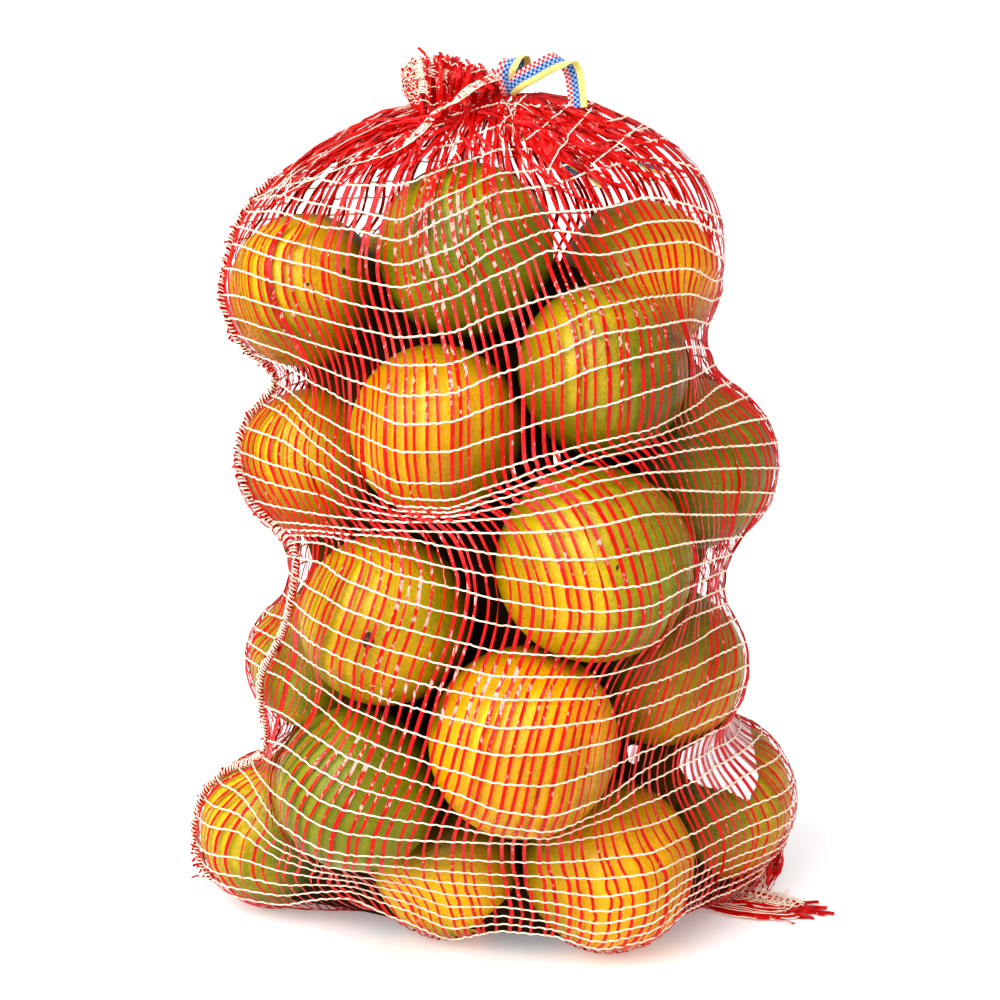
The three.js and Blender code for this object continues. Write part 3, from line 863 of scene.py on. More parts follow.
frac0 = (np.arange(N_TAPE) + 0.5) / N_TAPE
CROSS = np.zeros((N_TAPE, N_ALL))
ph = rng.uniform(0, 6.28, (N_TAPE, 2))
fixed = rng.normal(0, 0.09, N_TAPE)
for k in range(N_ALL):
    loose = float(np.interp(k, [N_TOP, N_TOP + 6], [1.0, 0.0]))
    drift = (fixed + loose * (0.8 * np.sin(k / 1.9 + ph[:, 0] * 3) + rng.normal(0, 0.35, N_TAPE)) + 0.13 * np.sin(k / 3.4 + ph[:, 0]) + 0.08 * np.sin(k / 1.3 + ph[:, 1])
             + rng.normal(0, 0.035, N_TAPE)) / N_TAPE
    CROSS[:, k] = theta_k(k, np.clip(frac0 + drift, 0.001, 0.999))
CROSS = np.unwrap(CROSS, axis=1)
# tapes run smoothly from row to row
for _ in range(2):
    CROSS[:, 1:-1] = 0.2 * CROSS[:, :-2] + 0.6 * CROSS[:, 1:-1] + 0.2 * CROSS[:, 2:]


def z_of(k, th):
    u = (np.asarray(th) / (2 * math.pi) * HI) % HI
    i0 = np.floor(u).astype(int) % HI
    f = u - np.floor(u)
    return ZALL[k][i0] * (1 - f) + ZALL[k][(i0 + 1) % HI] * f


SUB = 3                                    # steps of a tape between two rows
UNDER = 10                                 # steps under the base, towards the bottom seam
BOTTOM_Y = 16.0
S_UP = (N_ALL - 1) * SUB + 1
TAPES_S = S_UP + UNDER
fine = np.arange(S_UP) / SUB
kk = np.arange(N_ALL)
tape_path = np.zeros((N_TAPE, TAPES_S, 3))
tape_n = np.zeros((N_TAPE, TAPES_S, 3))
for i in range(N_TAPE):
    zk = np.array([z_of(k, CROSS[i, k]) for k in range(N_ALL)])
    zf = np.interp(fine, kk, zk)
    tf = np.interp(fine, kk, CROSS[i])
    tf[1:-1] = 0.25 * tf[:-2] + 0.5 * tf[1:-1] + 0.25 * tf[2:]
    p = at(SURF, tf, zf)
    nrm = unit(at(SNRM, tf, zf))
    seglen = np.linalg.norm(np.diff(p[::SUB], axis=0), axis=1)
    slack = np.append(np.repeat(np.sqrt(np.clip(9.6 ** 2 - seglen ** 2, 0, None)), SUB), 0)
    bell = np.sin(math.pi * (fine - np.floor(fine))) ** 2
    r1 = np.append(np.repeat(rng.normal(size=len(seglen)), SUB), 0)
    r2 = np.append(np.repeat(rng.uniform(0, 1, size=len(seglen)), SUB), 0)
    tang = unit(np.gradient(p, axis=0))
    sidev = unit(np.cross(tang, nrm))
    damp = np.where(zf > 285, 0.35, 1.0) * np.where(zf < 10, 0.3, 1.0)
    p = (p + nrm * (bell * r2 * np.minimum(slack, 8) * 0.13 * damp)[:, None]
         + sidev * (bell * r1 * np.minimum(slack, 8) * 0.06 * damp)[:, None])
    last = p[-1]
    u = np.linspace(0, 1, UNDER + 1)[1:, None]
    tgt = np.array([last[0] * 0.86, BOTTOM_Y, 0.75])
    zt = 0.8 + max(last[2] - 0.8, 0) * (1 - u[:, 0]) ** 1.5
    hug = at(SURF, np.full(UNDER, tf[-1]), np.maximum(zt, 1.3)) + at(SNRM, np.full(UNDER, tf[-1]), np.maximum(zt, 1.3)) * 0.2
    w_in = u ** 1.5
    tail = hug * (1 - w_in) + tgt * w_in
    tail[:, 2] = zt
    for c_, r_ in zip(FC, FR):              # under a fruit the tape lies against its skin
        d2 = (tail[:, 0] - c_[0]) ** 2 + (tail[:, 1] - c_[1]) ** 2
        low = c_[2] - np.sqrt(np.clip((r_ + 0.3) ** 2 - d2, 0, None)) - 0.3
        tail[:, 2] = np.where((d2 < r_ ** 2) & (c_[2] < 48), np.minimum(tail[:, 2], low), tail[:, 2])
    tail[:, 2] = np.maximum(tail[:, 2], 0.45)
    tape_path[i] = np.vstack([p, tail])
    tape_n[i] = np.vstack([nrm, unit(nrm[-1] * (1 - u) + np.array([0, 0, -1.0]) * u)])
tang = unit(np.gradient(tape_path, axis=1))
side = unit(np.cross(tang, tape_n))
out_n = unit(np.cross(side, tang))
steps = np.arange(TAPES_S)
twist = np.zeros((N_TAPE, TAPES_S)); wid = np.zeros((N_TAPE, TAPES_S))
for i in range(N_TAPE):
    a = rng.uniform(0, 6.28, 4)
    base_tw = rng.normal(0, 0.14)
    twist[i] = base_tw + 0.22 * np.sin(steps / 19.0 + a[0]) + 0.15 * np.sin(steps / 6.3 + a[1]) + rng.normal(0, 0.07, TAPES_S)
    if rng.uniform() < 0.22:
        c = rng.uniform(0, TAPES_S); wdt = rng.uniform(3, 6)
        twist[i] += math.pi / (1 + np.exp(-(steps - c) / wdt)) * rng.choice([-1, 1])
    wid[i] = rng.uniform(0.54, 0.76) * (1 + 0.13 * np.sin(steps / 9.0 + a[2]) + 0.05 * np.sin(steps / 2.3 + a[3]))
# near the mouth the tapes bunch and narrow
wid *= np.interp(steps, [0, N_TOP * SUB, (N_TOP + 4) * SUB], [0.75, 0.95, 1.0])[None, :]
s2 = side * np.cos(twist)[..., None] + out_n * np.sin(twist)[..., None]
o2 = out_n * np.cos(twist)[..., None] - side * np.sin(twist)[..., None]
lift = np.abs(np.sin(twist)) * wid * 0.7 + 0.10
lift[:, S_UP:] *= 0.2
tape_c = tape_path + out_n * lift[..., None]
tape_c[:, S_UP:, 2] = np.maximum(tape_c[:, S_UP:, 2], 0.5)
BOX4 = np.array([(-1, -1), (-1, 1), (1, 1), (1, -1)], float)
tv, tf_ = sweep(tape_c, s2, o2, wid, np.full_like(wid, 0.055), profile=BOX4)
# places of painted highlight on the front tapes: centre x, y and spread x, y in picture-frame pixels, and strength
PAINTED_GLINTS = [(455, 245, 60, 85, 1.0), (575, 300, 40, 32, 0.6), (435, 385, 45, 32, 0.8), (480, 690, 38, 42, 1.0), (425, 590, 52, 42, 0.9),
          (352, 775, 46, 42, 0.9), (560, 700, 50, 40, 0.45), (300, 300, 40, 40, 0.4), (620, 340, 50, 40, 0.45), (400, 680, 40, 40, 0.5)]
sx_, sy_ = to_px(tv)
painted_glint = np.full(len(tv), 0.02)
for bx, by, wx, wy, k in PAINTED_GLINTS:
    painted_glint += k * np.exp(-((sx_ - bx) / wx) ** 2 - ((sy_ - by) / wy) ** 2)
painted_glint = np.clip(painted_glint, 0, 1) * (tv[:, 1] < 12)
tapes = new_object("net_tapes", tv, tf_, RED, smooth=False, color={"painted_glint": np.stack([painted_glint] * 3, -1)})

# ------------------------------------------------------------------ white threads
PER = 4
N_ST = N_TAPE * PER
rows_used = list(range(N_TOP, N_ALL))
TH_PATHS = np.zeros((len(rows_used), N_ST, 3)); TH_N = np.zeros_like(TH_PATHS); TH_R = np.zeros((len(rows_used), N_ST))
TH_X = np.zeros((len(rows_used), N_ST))
for m, k in enumerate(rows_used):
    cr = CROSS[:, k]
    cr = np.unwrap(cr)
    cr = np.append(cr, cr[0] + 2 * math.pi)
    u = np.arange(N_ST) / PER
    th = np.interp(u, np.arange(N_TAPE + 1), cr)
    z = z_of(k, th)
    p = at(SURF, th, z); nrm = unit(at(SNRM, th, z))
    fr = u - np.floor(u)
    jit = rng.normal(0, 0.07, N_ST)
    up = 0.13 * np.sin(2 * math.pi * fr + rng.uniform(0, 6)) + jit
    over = np.repeat(rng.uniform(0, 1, N_TAPE) < 0.75, PER)
    liftn = 0.42 + 0.16 * np.cos(2 * math.pi * fr) * over + rng.normal(0, 0.03, N_ST)
    tg = unit(np.roll(p, -1, 0) - np.roll(p, 1, 0))
    ud = unit(np.cross(nrm, tg))
    TH_PATHS[m] = p + nrm * liftn[:, None] + ud * up[:, None]
    TH_N[m] = nrm
    TH_R[m] = 0.345 + 0.13 * np.cos(math.pi * fr) ** 4 + rng.normal(0, 0.02, N_ST)
    TH_X[m] = np.cos(math.pi * fr) ** 4
tg = unit(np.roll(TH_PATHS, -1, 1) - np.roll(TH_PATHS, 1, 1))
ud = unit(np.cross(TH_N, tg))
prof = np.array([(math.cos(a), math.sin(a)) for a in np.linspace(0, 2 * math.pi, 5)[:-1] + 0.4])
wv, wf = sweep(TH_PATHS, ud, TH_N, TH_R * 1.1, TH_R * 0.85, closed=True, profile=prof)
tint = np.repeat(TH_X.reshape(-1), 4)
threads = new_object("net_threads", wv, wf, WHITE, color={"knot": np.stack([tint] * 3, -1)})

# ------------------------------------------------------------------ loose and sewn details
extra = []
TG, ZG = np.meshgrid(np.arange(300) * 2 * math.pi / 300, np.linspace(1.0, MOUTH_Z - 0.2, 190), indexing="ij")
GP = at(SURF, TG.ravel(), ZG.ravel())
GN = unit(at(SNRM, TG.ravel(), ZG.ravel()))
GX, GY = to_px(GP)
G_FRONT = np.einsum("ij,ij->i", GN, CAM_P - GP) > 0


def net_point(x, y, lift=0.0):
    """The point of the net's front that the picture shows at x, y, and the way out of it."""
    x = np.atleast_1d(np.asarray(x, float)); y = np.atleast_1d(np.asarray(y, float))
    th = np.zeros(len(x)); z = np.zeros(len(x))
    for i in range(len(x)):
        d = (GX - x[i]) ** 2 + (GY - y[i]) ** 2
        d[~G_FRONT] = 1e9
        j = int(np.argmin(d))
        th[i], z[i] = TG.ravel()[j], ZG.ravel()[j]
    for _ in range(6):
        p0 = at(SURF, th, z); p1 = at(SURF, th + 0.01, z); p2 = at(SURF, th, np.minimum(z + 0.4, MOUTH_Z - 0.05))
        x0, y0 = to_px(p0); x1, y1 = to_px(p1); x2, y2 = to_px(p2)
        a, b = (x1 - x0) / 0.01, (x2 - x0) / 0.4
        c, d = (y1 - y0) / 0.01, (y2 - y0) / 0.4
        ex, ey = x - x0, y - y0
        # damped least squares
        aa, ab, bb = a * a + c * c + 400.0, a * b + c * d, b * b + d * d + 0.15
        ra, rb = a * ex + c * ey, b * ex + d * ey
        det = aa * bb - ab * ab
        th = th + np.clip((bb * ra - ab * rb) / det, -0.05, 0.05)
        z = np.clip(z + np.clip((aa * rb - ab * ra) / det, -3, 3), 1.0, MOUTH_Z - 0.2)
    p = at(SURF, th, z); n = unit(at(SNRM, th, z))
    return p + n * np.asarray(lift, float).reshape(-1, 1), n


def resample(pts, n):
    """n points spaced evenly along a smooth curve through pts."""
    pts = np.asarray(pts, float)
    p = np.vstack([2 * pts[0] - pts[1], pts, 2 * pts[-1] - pts[-2]])
    out = []
    for i in range(1, len(p) - 2):
        t = np.linspace(0, 1, 16, endpoint=False)[:, None]
        out.append(0.5 * ((2 * p[i]) + (-p[i - 1] + p[i + 1]) * t + (2 * p[i - 1] - 5 * p[i] + 4 * p[i + 1] - p[i + 2]) * t ** 2
                          + (-p[i - 1] + 3 * p[i] - 3 * p[i + 1] + p[i + 2]) * t ** 3))
    c = np.vstack(out + [pts[-1:]])
    cum = np.concatenate([[0], np.cumsum(np.linalg.norm(np.diff(c, axis=0), axis=1))])
    s = np.linspace(0, cum[-1], n)
    return np.stack([np.interp(s, cum, c[:, k]) for k in range(c.shape[1])], -1)


def px3(x, y, depth):
    return from_px(x, y, depth)


BOX4 = np.array([(-1, -1), (-1, 1), (1, 1), (1, -1)], float)
ROUND4 = np.array([(math.cos(a), math.sin(a)) for a in np.linspace(0, 2 * math.pi, 5)[:-1] + 0.4])


def strip(path, normal, half_w, half_t, twist=None, profile=BOX4):
    """A flat tape or a thread along one path (S, 3)."""
    path = np.asarray(path, float)
    t = unit(np.gradient(path, axis=0))
    n = np.broadcast_to(normal, path.shape)
    s = unit(np.cross(t, n)); o = unit(np.cross(s, t))
    if twist is not None:
        s, o = s * np.cos(twist)[:, None] + o * np.sin(twist)[:, None], o * np.cos(twist)[:, None] - s * np.sin(twist)[:, None]
    w = np.broadcast_to(np.asarray(half_w, float), (len(path),))
    th = np.broadcast_to(np.asarray(half_t, float), (len(path),))
    return sweep(path[None], s[None], o[None], w[None], th[None], profile=profile)


def wobble(n, amp, period):
    s = np.arange(n)
    a = rng.uniform(0, 6.28, 3)
    return amp * (np.sin(s / period + a[0]) + 0.6 * np.sin(s / period * 2.3 + a[1]) + 0.4 * np.sin(s / period * 4.1 + a[2]))


def thread(path, radius, normal=(0, -1, 0)):
    return strip(path, np.asarray(normal, float), radius, np.asarray(radius) * 0.85, profile=ROUND4)


def knots(n, every):
    return np.clip(np.cos(math.pi * np.arange(n) / every), 0, 1) ** 4


red_parts, white_parts = [], []

# -- the gathered neck: a bunch of net that leans left over the mouth
RIM_X = [396, 401, 408, 420, 434, 450, 468, 484, 497, 502]
RIM_Y = [84, 74, 62, 54, 51, 55, 60, 67, 76, 82]
M_T = 120
aa = np.sort(rng.uniform(0, 2 * math.pi, M_T))
S_T = 13
uu = np.linspace(0, 1, S_T)
bunch = np.zeros((M_T, S_T, 3))
for i, a in enumerate(aa):
    wobx = 1 + 0.16 * math.sin(3 * a + 1.0) + 0.10 * math.sin(7 * a)
    xt = 449 + 47 * math.cos(a) * min(wobx, 1.0)
    yt = np.interp(xt, RIM_X, RIM_Y) + abs(math.sin(a)) * rng.uniform(0, 9) + rng.uniform(-1, 3)
    dep = 11.0 * math.sin(a) * (1 + 0.25 * math.sin(5 * a))
    top = px3(xt, yt, 0.0) + np.array([0, dep, 0])
    base = np.array([-19.0 + 12.5 * math.cos(a), 0.0 + 10.0 * math.sin(a) - 4, MOUTH_Z - 7.0 + 3 * math.sin(a)])
    mid = (base + top) / 2 + np.array([4.0 * math.cos(a), 3.0 * math.sin(a), 0]) * math.sin(2 * a + 1)
    p = (base * ((1 - uu) ** 2)[:, None] + 2 * mid * (uu * (1 - uu))[:, None] + top * (uu ** 2)[:, None])
    outw = np.array([math.cos(a), math.sin(a), 0.0])
    p = p + outw * (wobble(S_T, 0.7, 1.7) * uu)[:, None] + np.array([0, 0, 1.0]) * (wobble(S_T, 0.35, 2.0))[:, None]
    bunch[i] = p
    red_parts.append(strip(p, outw, 0.72 * rng.uniform(0.8, 1.2), 0.05, twist=wobble(S_T, 0.5, 3.0)))
    if math.cos(a) > -0.25:                  # the right of the bunch is close red tape
        for q in range(2):
            p2 = p * 0.96 + np.array([-19.0, 0, MOUTH_Z]) * 0.04 + np.array([rng.normal(0, 1.2), rng.normal(0, 1.6), rng.normal(-1, 0.8)])
            red_parts.append(strip(p2, outw, 0.9 * rng.uniform(0.8, 1.2), 0.05, twist=wobble(S_T, 0.7, 3.0)))
rows_t = np.concatenate([np.linspace(0.30, 0.99, 12), [0.96, 0.985]])
for r_i, u in enumerate(rows_t):
    ring = np.stack([[np.interp(u, uu, bunch[i, :, k]) for k in range(3)] for i in range(M_T)])
    closed_ring = np.vstack([ring, ring[:1]])
    full = resample(closed_ring, 300)
    if r_i % 4:                              # most threads show only on the left of the bunch
        k0, k1 = int(300 * rng.uniform(0.24, 0.36)), int(300 * rng.uniform(0.62, 0.72))
    else:
        k0, k1 = 0, 300
    outw = unit(full - np.array([-19.0, 0, 0]) - np.array([0, 0, 1]) * full[:, 2:3])
    full = full + outw * (0.3 + 0.25 * np.sin(np.arange(300) * 1.7 + r_i))[:, None]
    full[:, 2] += wobble(300, 0.35, 4.0)
    rad_t = 0.23 + 0.05 * np.sin(np.arange(300) * 2.1)
    white_parts.append(thread(full[k0:k1], rad_t[k0:k1], outw[k0:k1]))
# the left side of the bunch is close white netting: short zigzag threads between the rows
for j in range(30):
    a = rng.uniform(math.pi * 0.62, math.pi * 1.5)
    i = int(np.argmin(np.abs(aa - a % (2 * math.pi))))
    i2 = (i + rng.integers(1, 3)) % M_T
    u0 = rng.uniform(0.45, 0.8); u1 = min(u0 + rng.uniform(0.1, 0.25), 1.0)
    p = np.stack([np.array([np.interp(u, uu, bunch[i if q % 2 else i2, :, k]) for k in range(3)])
                  for q, u in enumerate(np.linspace(u0, u1, 7))])
    outw = np.array([math.cos(a), math.sin(a), 0.2])
    white_parts.append(thread(resample(p, 20) + outw * 0.6, 0.19, outw))
for j in range(90):                          # crumpled net that fills the bunch
    a = rng.uniform(0, 2 * math.pi)
    i = int(np.argmin(np.abs(aa - a)))
    f = rng.uniform(0.1, 0.85)
    mid_line = np.array([-19.0, 0.0, 0.0]) * (1 - uu)[:, None] + np.array([-19.5, 0, 0]) * uu[:, None]
    p = bunch[i] * f + (mid_line + np.array([0, 0, 1.0]) * bunch[i][:, 2:3]) * (1 - f)
    p[:, 2] = p[0, 2] + (p[:, 2] - p[0, 2]) * rng.uniform(0.75, 1.0)
    p = p + np.stack([wobble(S_T, 0.8, 1.8), wobble(S_T, 0.8, 2.1), wobble(S_T, 0.4, 2.4)], -1)
    if j % 5 == 0:
        white_parts.append(thread(p, 0.2, (math.cos(a), math.sin(a), 0.1)))
    else:
        red_parts.append(strip(p, (math.cos(a), math.sin(a), 0.1), 0.8 * rng.uniform(0.7, 1.2), 0.05, twist=wobble(S_T, 0.9, 2.0)))
# loose ends at the rim
for j in range(30):
    i = rng.integers(0, M_T)
    p0 = bunch[i, -1]
    d = unit(np.array([rng.normal(0, 0.5) - 0.3, rng.normal(0, 0.3), 0.6]))
    L = rng.uniform(1.0, 3.6)
    p = p0 + d * (np.linspace(0, 1, 5) * L)[:, None]
    p[:, 2] -= np.linspace(0, 1, 5) ** 2 * rng.uniform(0, 1.2)
    (red_parts if j % 2 else white_parts).append(strip(p, (0, -1, 0), 0.5 if j % 2 else 0.2, 0.05 if j % 2 else 0.16))


def over_net(px_pts, n, lift, normal_mix=0.0):
    c = resample(px_pts, n)
    return net_point(c[:, 0], c[:, 1], lift)


# -- folds of slack net drawn over the left shoulder to the gather
for j in range(74):
    f = rng.uniform(0, 1)
    ex, ey = np.interp(f, [0, 0.35, 0.7, 1], [244, 262, 300, 352]), np.interp(f, [0, 0.35, 0.7, 1], [226, 190, 170, 176])
    sx, sy = rng.uniform(418, 452), rng.uniform(97, 126)
    mx_, my_ = (sx + ex) / 2 + rng.normal(0, 6), (sy + ey) / 2 - rng.uniform(2, 17)
    stop = rng.uniform(0.55, 1.0)
    pts = np.array([[sx, sy], [mx_, my_], [ex, ey]])
    c = resample(pts, 26)[:int(8 + 18 * stop)]
    p, n_ = net_point(c[:, 0], c[:, 1], 0.0)
    p = p + n_ * (rng.uniform(0.3, 2.2) + wobble(len(c), 0.30, 2.5))[:, None]
    if j % 6 == 0:
        white_parts.append(thread(p, 0.2, n_))
    else:
        red_parts.append(strip(p, n_, 0.54 * rng.uniform(0.8, 1.2), 0.05, twist=wobble(len(c), 0.5, 5.0)))
for j in range(26):
    sx, sy = rng.uniform(420, 470), rng.uniform(108, 130)
    ex, ey = rng.uniform(318, 400), rng.uniform(178, 206)
    mx_, my_ = (sx + ex) / 2 + rng.normal(0, 7), (sy + ey) / 2 - rng.uniform(-2, 12)
    c = resample(np.array([[sx, sy], [mx_, my_], [ex, ey]]), 22)[:int(10 + 12 * rng.uniform(0.3, 1.0))]
    p, n_ = net_point(c[:, 0], c[:, 1], 0.0)
    p = p + n_ * (rng.uniform(0.2, 1.6) + wobble(len(c), 0.30, 2.5))[:, None]
    red_parts.append(strip(p, n_, 0.55 * rng.uniform(0.8, 1.2), 0.05, twist=wobble(len(c), 0.5, 5.0)))
# -- slanting folds over the right of the crown
for j in range(40):
    sx, sy = rng.uniform(500, 552), rng.uniform(100, 128)
    ex, ey = rng.uniform(560, 672), rng.uniform(165, 216)
    mx_, my_ = (sx + ex) / 2 + rng.normal(-8, 9), (sy + ey) / 2 + rng.uniform(-8, 14)
    c = resample(np.array([[sx, sy], [mx_, my_], [ex, ey]]), 24)[int(rng.uniform(0, 6)):int(24 * rng.uniform(0.6, 1.0))]
    p, n_ = net_point(c[:, 0], c[:, 1], 0.0)
    p = p + n_ * (rng.uniform(0.2, 1.5) + wobble(len(c), 0.35, 2.3))[:, None]
    red_parts.append(strip(p, n_, 0.52 * rng.uniform(0.8, 1.2), 0.05, twist=wobble(len(c), 0.6, 5.0)))
for j in range(36):
    sx, sy = rng.uniform(462, 520), rng.uniform(94, 112)
    f = rng.uniform(0, 1)
    ex, ey = np.interp(f, [0, 0.5, 1], [590, 660, 716]), np.interp(f, [0, 0.5, 1], [205, 190, 205]) - rng.uniform(0, 50)
    mx_, my_ = (sx + ex) / 2 + rng.normal(0, 10), (sy + ey) / 2 - rng.uniform(-4, 20)
    a0 = rng.uniform(0, 0.45); a1 = a0 + rng.uniform(0.3, 0.55)
    c = resample(np.array([[sx, sy], [mx_, my_], [ex, ey]]), 40)[int(40 * a0):int(40 * min(a1, 1)) + 4]
    p, n_ = net_point(c[:, 0], c[:, 1], 0.0)
    p = p + n_ * (rng.uniform(0.2, 1.6) + wobble(len(c), 0.30, 2.5))[:, None]
    red_parts.append(strip(p, n_, 0.58 * rng.uniform(0.8, 1.2), 0.05, twist=wobble(len(c), 0.6, 5.0)))

for j in range(30):                          # the tangle right under the mouth
    sx, sy = rng.uniform(442, 522), rng.uniform(98, 112)
    ex, ey = sx + rng.normal(0, 34), rng.uniform(146, 174)
    mx_, my_ = (sx + ex) / 2 + rng.normal(0, 8), (sy + ey) / 2 + rng.normal(0, 5)
    c = resample(np.array([[sx, sy], [mx_, my_], [ex, ey]]), 18)
    p, n_ = net_point(c[:, 0], c[:, 1], 0.0)
    p = p + n_ * (rng.uniform(0.2, 1.3) + wobble(len(c), 0.3, 2.3))[:, None]
    if j % 5 == 0:
        white_parts.append(thread(p, 0.2, n_))
    else:
        red_parts.append(strip(p, n_, 0.5 * rng.uniform(0.8, 1.2), 0.05, twist=wobble(len(c), 0.6, 5.0)))
# -- the frayed lower end of the side seam
for j in range(34):
    p0 = px3(rng.uniform(197, 210), rng.uniform(852, 884), 19 + rng.uniform(-5, 5))
    d = unit(np.array([-rng.uniform(0.2, 1.0), rng.normal(0, 0.5), rng.uniform(-0.9, 0.2)]))
    p = p0 + d * (np.linspace(0, 1, 6) * rng.uniform(1.6, 4.2))[:, None] + wobble(6, 0.25, 1.6)[:, None]
    p[:, 2] = np.maximum(p[:, 2], 0.4)
    if j % 2:
        white_parts.append(thread(p, 0.22, (0, -1, 0)))
    else:
        red_parts.append(strip(p, (0, -1, 0), 0.5 * rng.uniform(0.7, 1.2), 0.05, twist=wobble(6, 0.5, 2.5)))

# -- the hem of the mouth: close white threads that slant down to the left
HEM = [(497, 77), (484, 82), (471, 89), (456, 101), (439, 117), (422, 135), (405, 148), (383, 159)]
hem_depth = [-9, -13, -19, -25]
hp = np.array([px3(x, y, d) for (x, y), d in zip(HEM[:4], hem_depth)])
hq, hn = net_point([h[0] for h in HEM[4:]], [h[1] for h in HEM[4:]], 2.0)
hem3 = resample(np.vstack([hp, hq]), 120)
hem_n = unit(np.stack([np.interp(np.arange(120), [0, 45, 119], [v0, v1, v2]) for v0, v1, v2 in zip((-0.2, -0.9, 0.5), hn[0], hn[-1])], -1))
hem_t = unit(np.gradient(hem3, axis=0))
hem_s = unit(np.cross(hem_t, hem_n))
for o_i, off_mm in enumerate((-1.5, -0.5, 0.5, 1.5)):
    p = hem3 + hem_s * (off_mm + wobble(120, 0.12, 5.0))[:, None] + hem_n * (wobble(120, 0.12, 4.0) + 0.3)[:, None]
    white_parts.append(thread(p[:int(120 - 9 * o_i)], 0.33, (0, -1, 0.3)))
zig = hem3 + hem_s * (1.6 * np.sign(np.sin(np.arange(120) * 0.9)) * rng.uniform(0.6, 1, 120))[:, None] + hem_n * 0.5
white_parts.append(thread(zig[:100], 0.24, (0, -1, 0.3)))
for j in range(46):
    k = int(rng.uniform(2, 112))
    L = rng.uniform(2.5, 5.0)
    d = unit(hem_s[k] * rng.choice([-1, 1]) + hem_t[k] * rng.normal(0, 0.35))
    p = hem3[k] + hem_n[k] * rng.uniform(0.0, 0.8) + d * (np.linspace(-0.3, 1, 6) * L)[:, None]
    p = p - hem_n[k] * (np.linspace(0, 1, 6) ** 2 * 1.2)[:, None]
    red_parts.append(strip(p, hem_n[k], 0.55, 0.05, twist=wobble(6, 0.3, 3.0)))
for pts in ([(383, 159), (350, 168), (318, 180), (284, 190), (252, 203)],
            [(300, 168), (292, 184), (287, 204)], [(328, 154), (318, 165), (309, 174)], [(292, 179), (280, 190), (268, 200)],
            [(526, 98), (519, 106), (513, 114)], [(574, 103), (552, 122), (528, 142)],
            [(590, 112), (560, 150), (548, 176)], [(640, 128), (612, 150), (590, 168)]):
    p, n_ = over_net(np.array(pts, float), 30, 1.6)
    p = p + n_ * wobble(30, 0.25, 2.0)[:, None] + np.array([1, 0, 0.4]) * wobble(30, 0.25, 2.6)[:, None]
    white_parts.append(thread(p, 0.30, n_))

# -- the side seam: an overlocked ridge down the left
K_SEAM = np.arange(N_TOP + 2, N_ALL)
th_s = np.interp(SEAM_S[K_SEAM], idx_ext, np.arange(HI + 1) * 2 * math.pi / HI)
z_s = np.array([z_of(k, t) for k, t in zip(K_SEAM, th_s)])
fine_s = np.linspace(0, len(K_SEAM) - 1, 700)
ths = np.interp(fine_s, np.arange(len(K_SEAM)), th_s); zs_ = np.interp(fine_s, np.arange(len(K_SEAM)), z_s)
ker = np.ones(9) / 9
ths = np.convolve(np.pad(ths, 4, mode="edge"), ker, "valid"); zs_ = np.convolve(np.pad(zs_, 4, mode="edge"), ker, "valid")
sp_ = at(SURF, ths, zs_); sn_ = unit(at(SNRM, ths, zs_))
spine = resample(np.hstack([sp_, sn_])[::7], 900)
sp_, sn_ = spine[:, :3], unit(spine[:, 3:])
st_ = unit(np.gradient(sp_, axis=0)); ss_ = unit(np.cross(st_, sn_))
cum = np.concatenate([[0], np.cumsum(np.linalg.norm(np.diff(sp_, axis=0), axis=1))])
SEAM_LEN = cum[-1]


def along(s):
    s = np.clip(s, 0, SEAM_LEN)
    return [np.stack([np.interp(s, cum, a[:, k]) for k in range(3)], -1) for a in (sp_, sn_, st_, ss_)]


for turn, (pitch, rad, ph0) in enumerate(((2.9, 1.9, 0.0), (2.9, 1.5, 2.6))):
    n_h = int(SEAM_LEN / pitch * 9)
    s = np.linspace(0, SEAM_LEN, n_h)
    P, Nn, T, Sd = along(s)
    w = 2 * math.pi * s / pitch + ph0 + 0.5 * np.sin(s / 7.0)
    q = P + Nn * (1.2 + rad * 0.75 * np.sin(w) + 0.12 * np.sin(s * 1.9))[:, None] + Sd * (rad * np.cos(w) * (1 + 0.2 * np.sin(s / 5)))[:, None]
    white_parts.append(thread(q, 0.34, Nn))
P, Nn, T, Sd = along(np.linspace(0, SEAM_LEN, 500))
q = P + Nn * (0.9 + wobble(500, 0.2, 3))[:, None] + Sd * wobble(500, 0.35, 4)[:, None]
white_parts.append(thread(q, 0.30, Nn))
n_f = int(SEAM_LEN / 0.85)
for j in range(n_f):
    s0 = rng.uniform(0, SEAM_LEN)
    P, Nn, T, Sd = [a[0] for a in along(np.array([s0]))]
    L = rng.uniform(1.6, 3.9)
    d = unit(Nn * rng.uniform(0.5, 1.2) + Sd * rng.normal(0, 0.7) + T * rng.normal(0, 0.45))
    p = P + d * (np.linspace(-0.15, 1, 5) * L)[:, None]
    p[:, 2] -= (np.linspace(0, 1, 5) ** 2) * rng.uniform(0, 1.0)
    p[:, 2] = np.maximum(p[:, 2], 0.4)
    red_parts.append(strip(p, Sd, 0.54 * rng.uniform(0.7, 1.2), 0.05, twist=wobble(5, 0.4, 3.0)))
for j in range(int(SEAM_LEN / 1.3)):              # the gathered fold of net under the stitching
    s0 = rng.uniform(0, SEAM_LEN - 6)
    P, Nn, T, Sd = along(np.linspace(s0, s0 + rng.uniform(4, 9), 8))
    p = P + Nn * (rng.uniform(0.3, 1.7) + wobble(8, 0.25, 2))[:, None] + Sd * (rng.normal(0, 0.5) + wobble(8, 0.3, 2))[:, None]
    p[:, 2] = np.maximum(p[:, 2], 0.4)
    red_parts.append(strip(p, Nn, 0.6, 0.05, twist=wobble(8, 0.8, 2.0)))

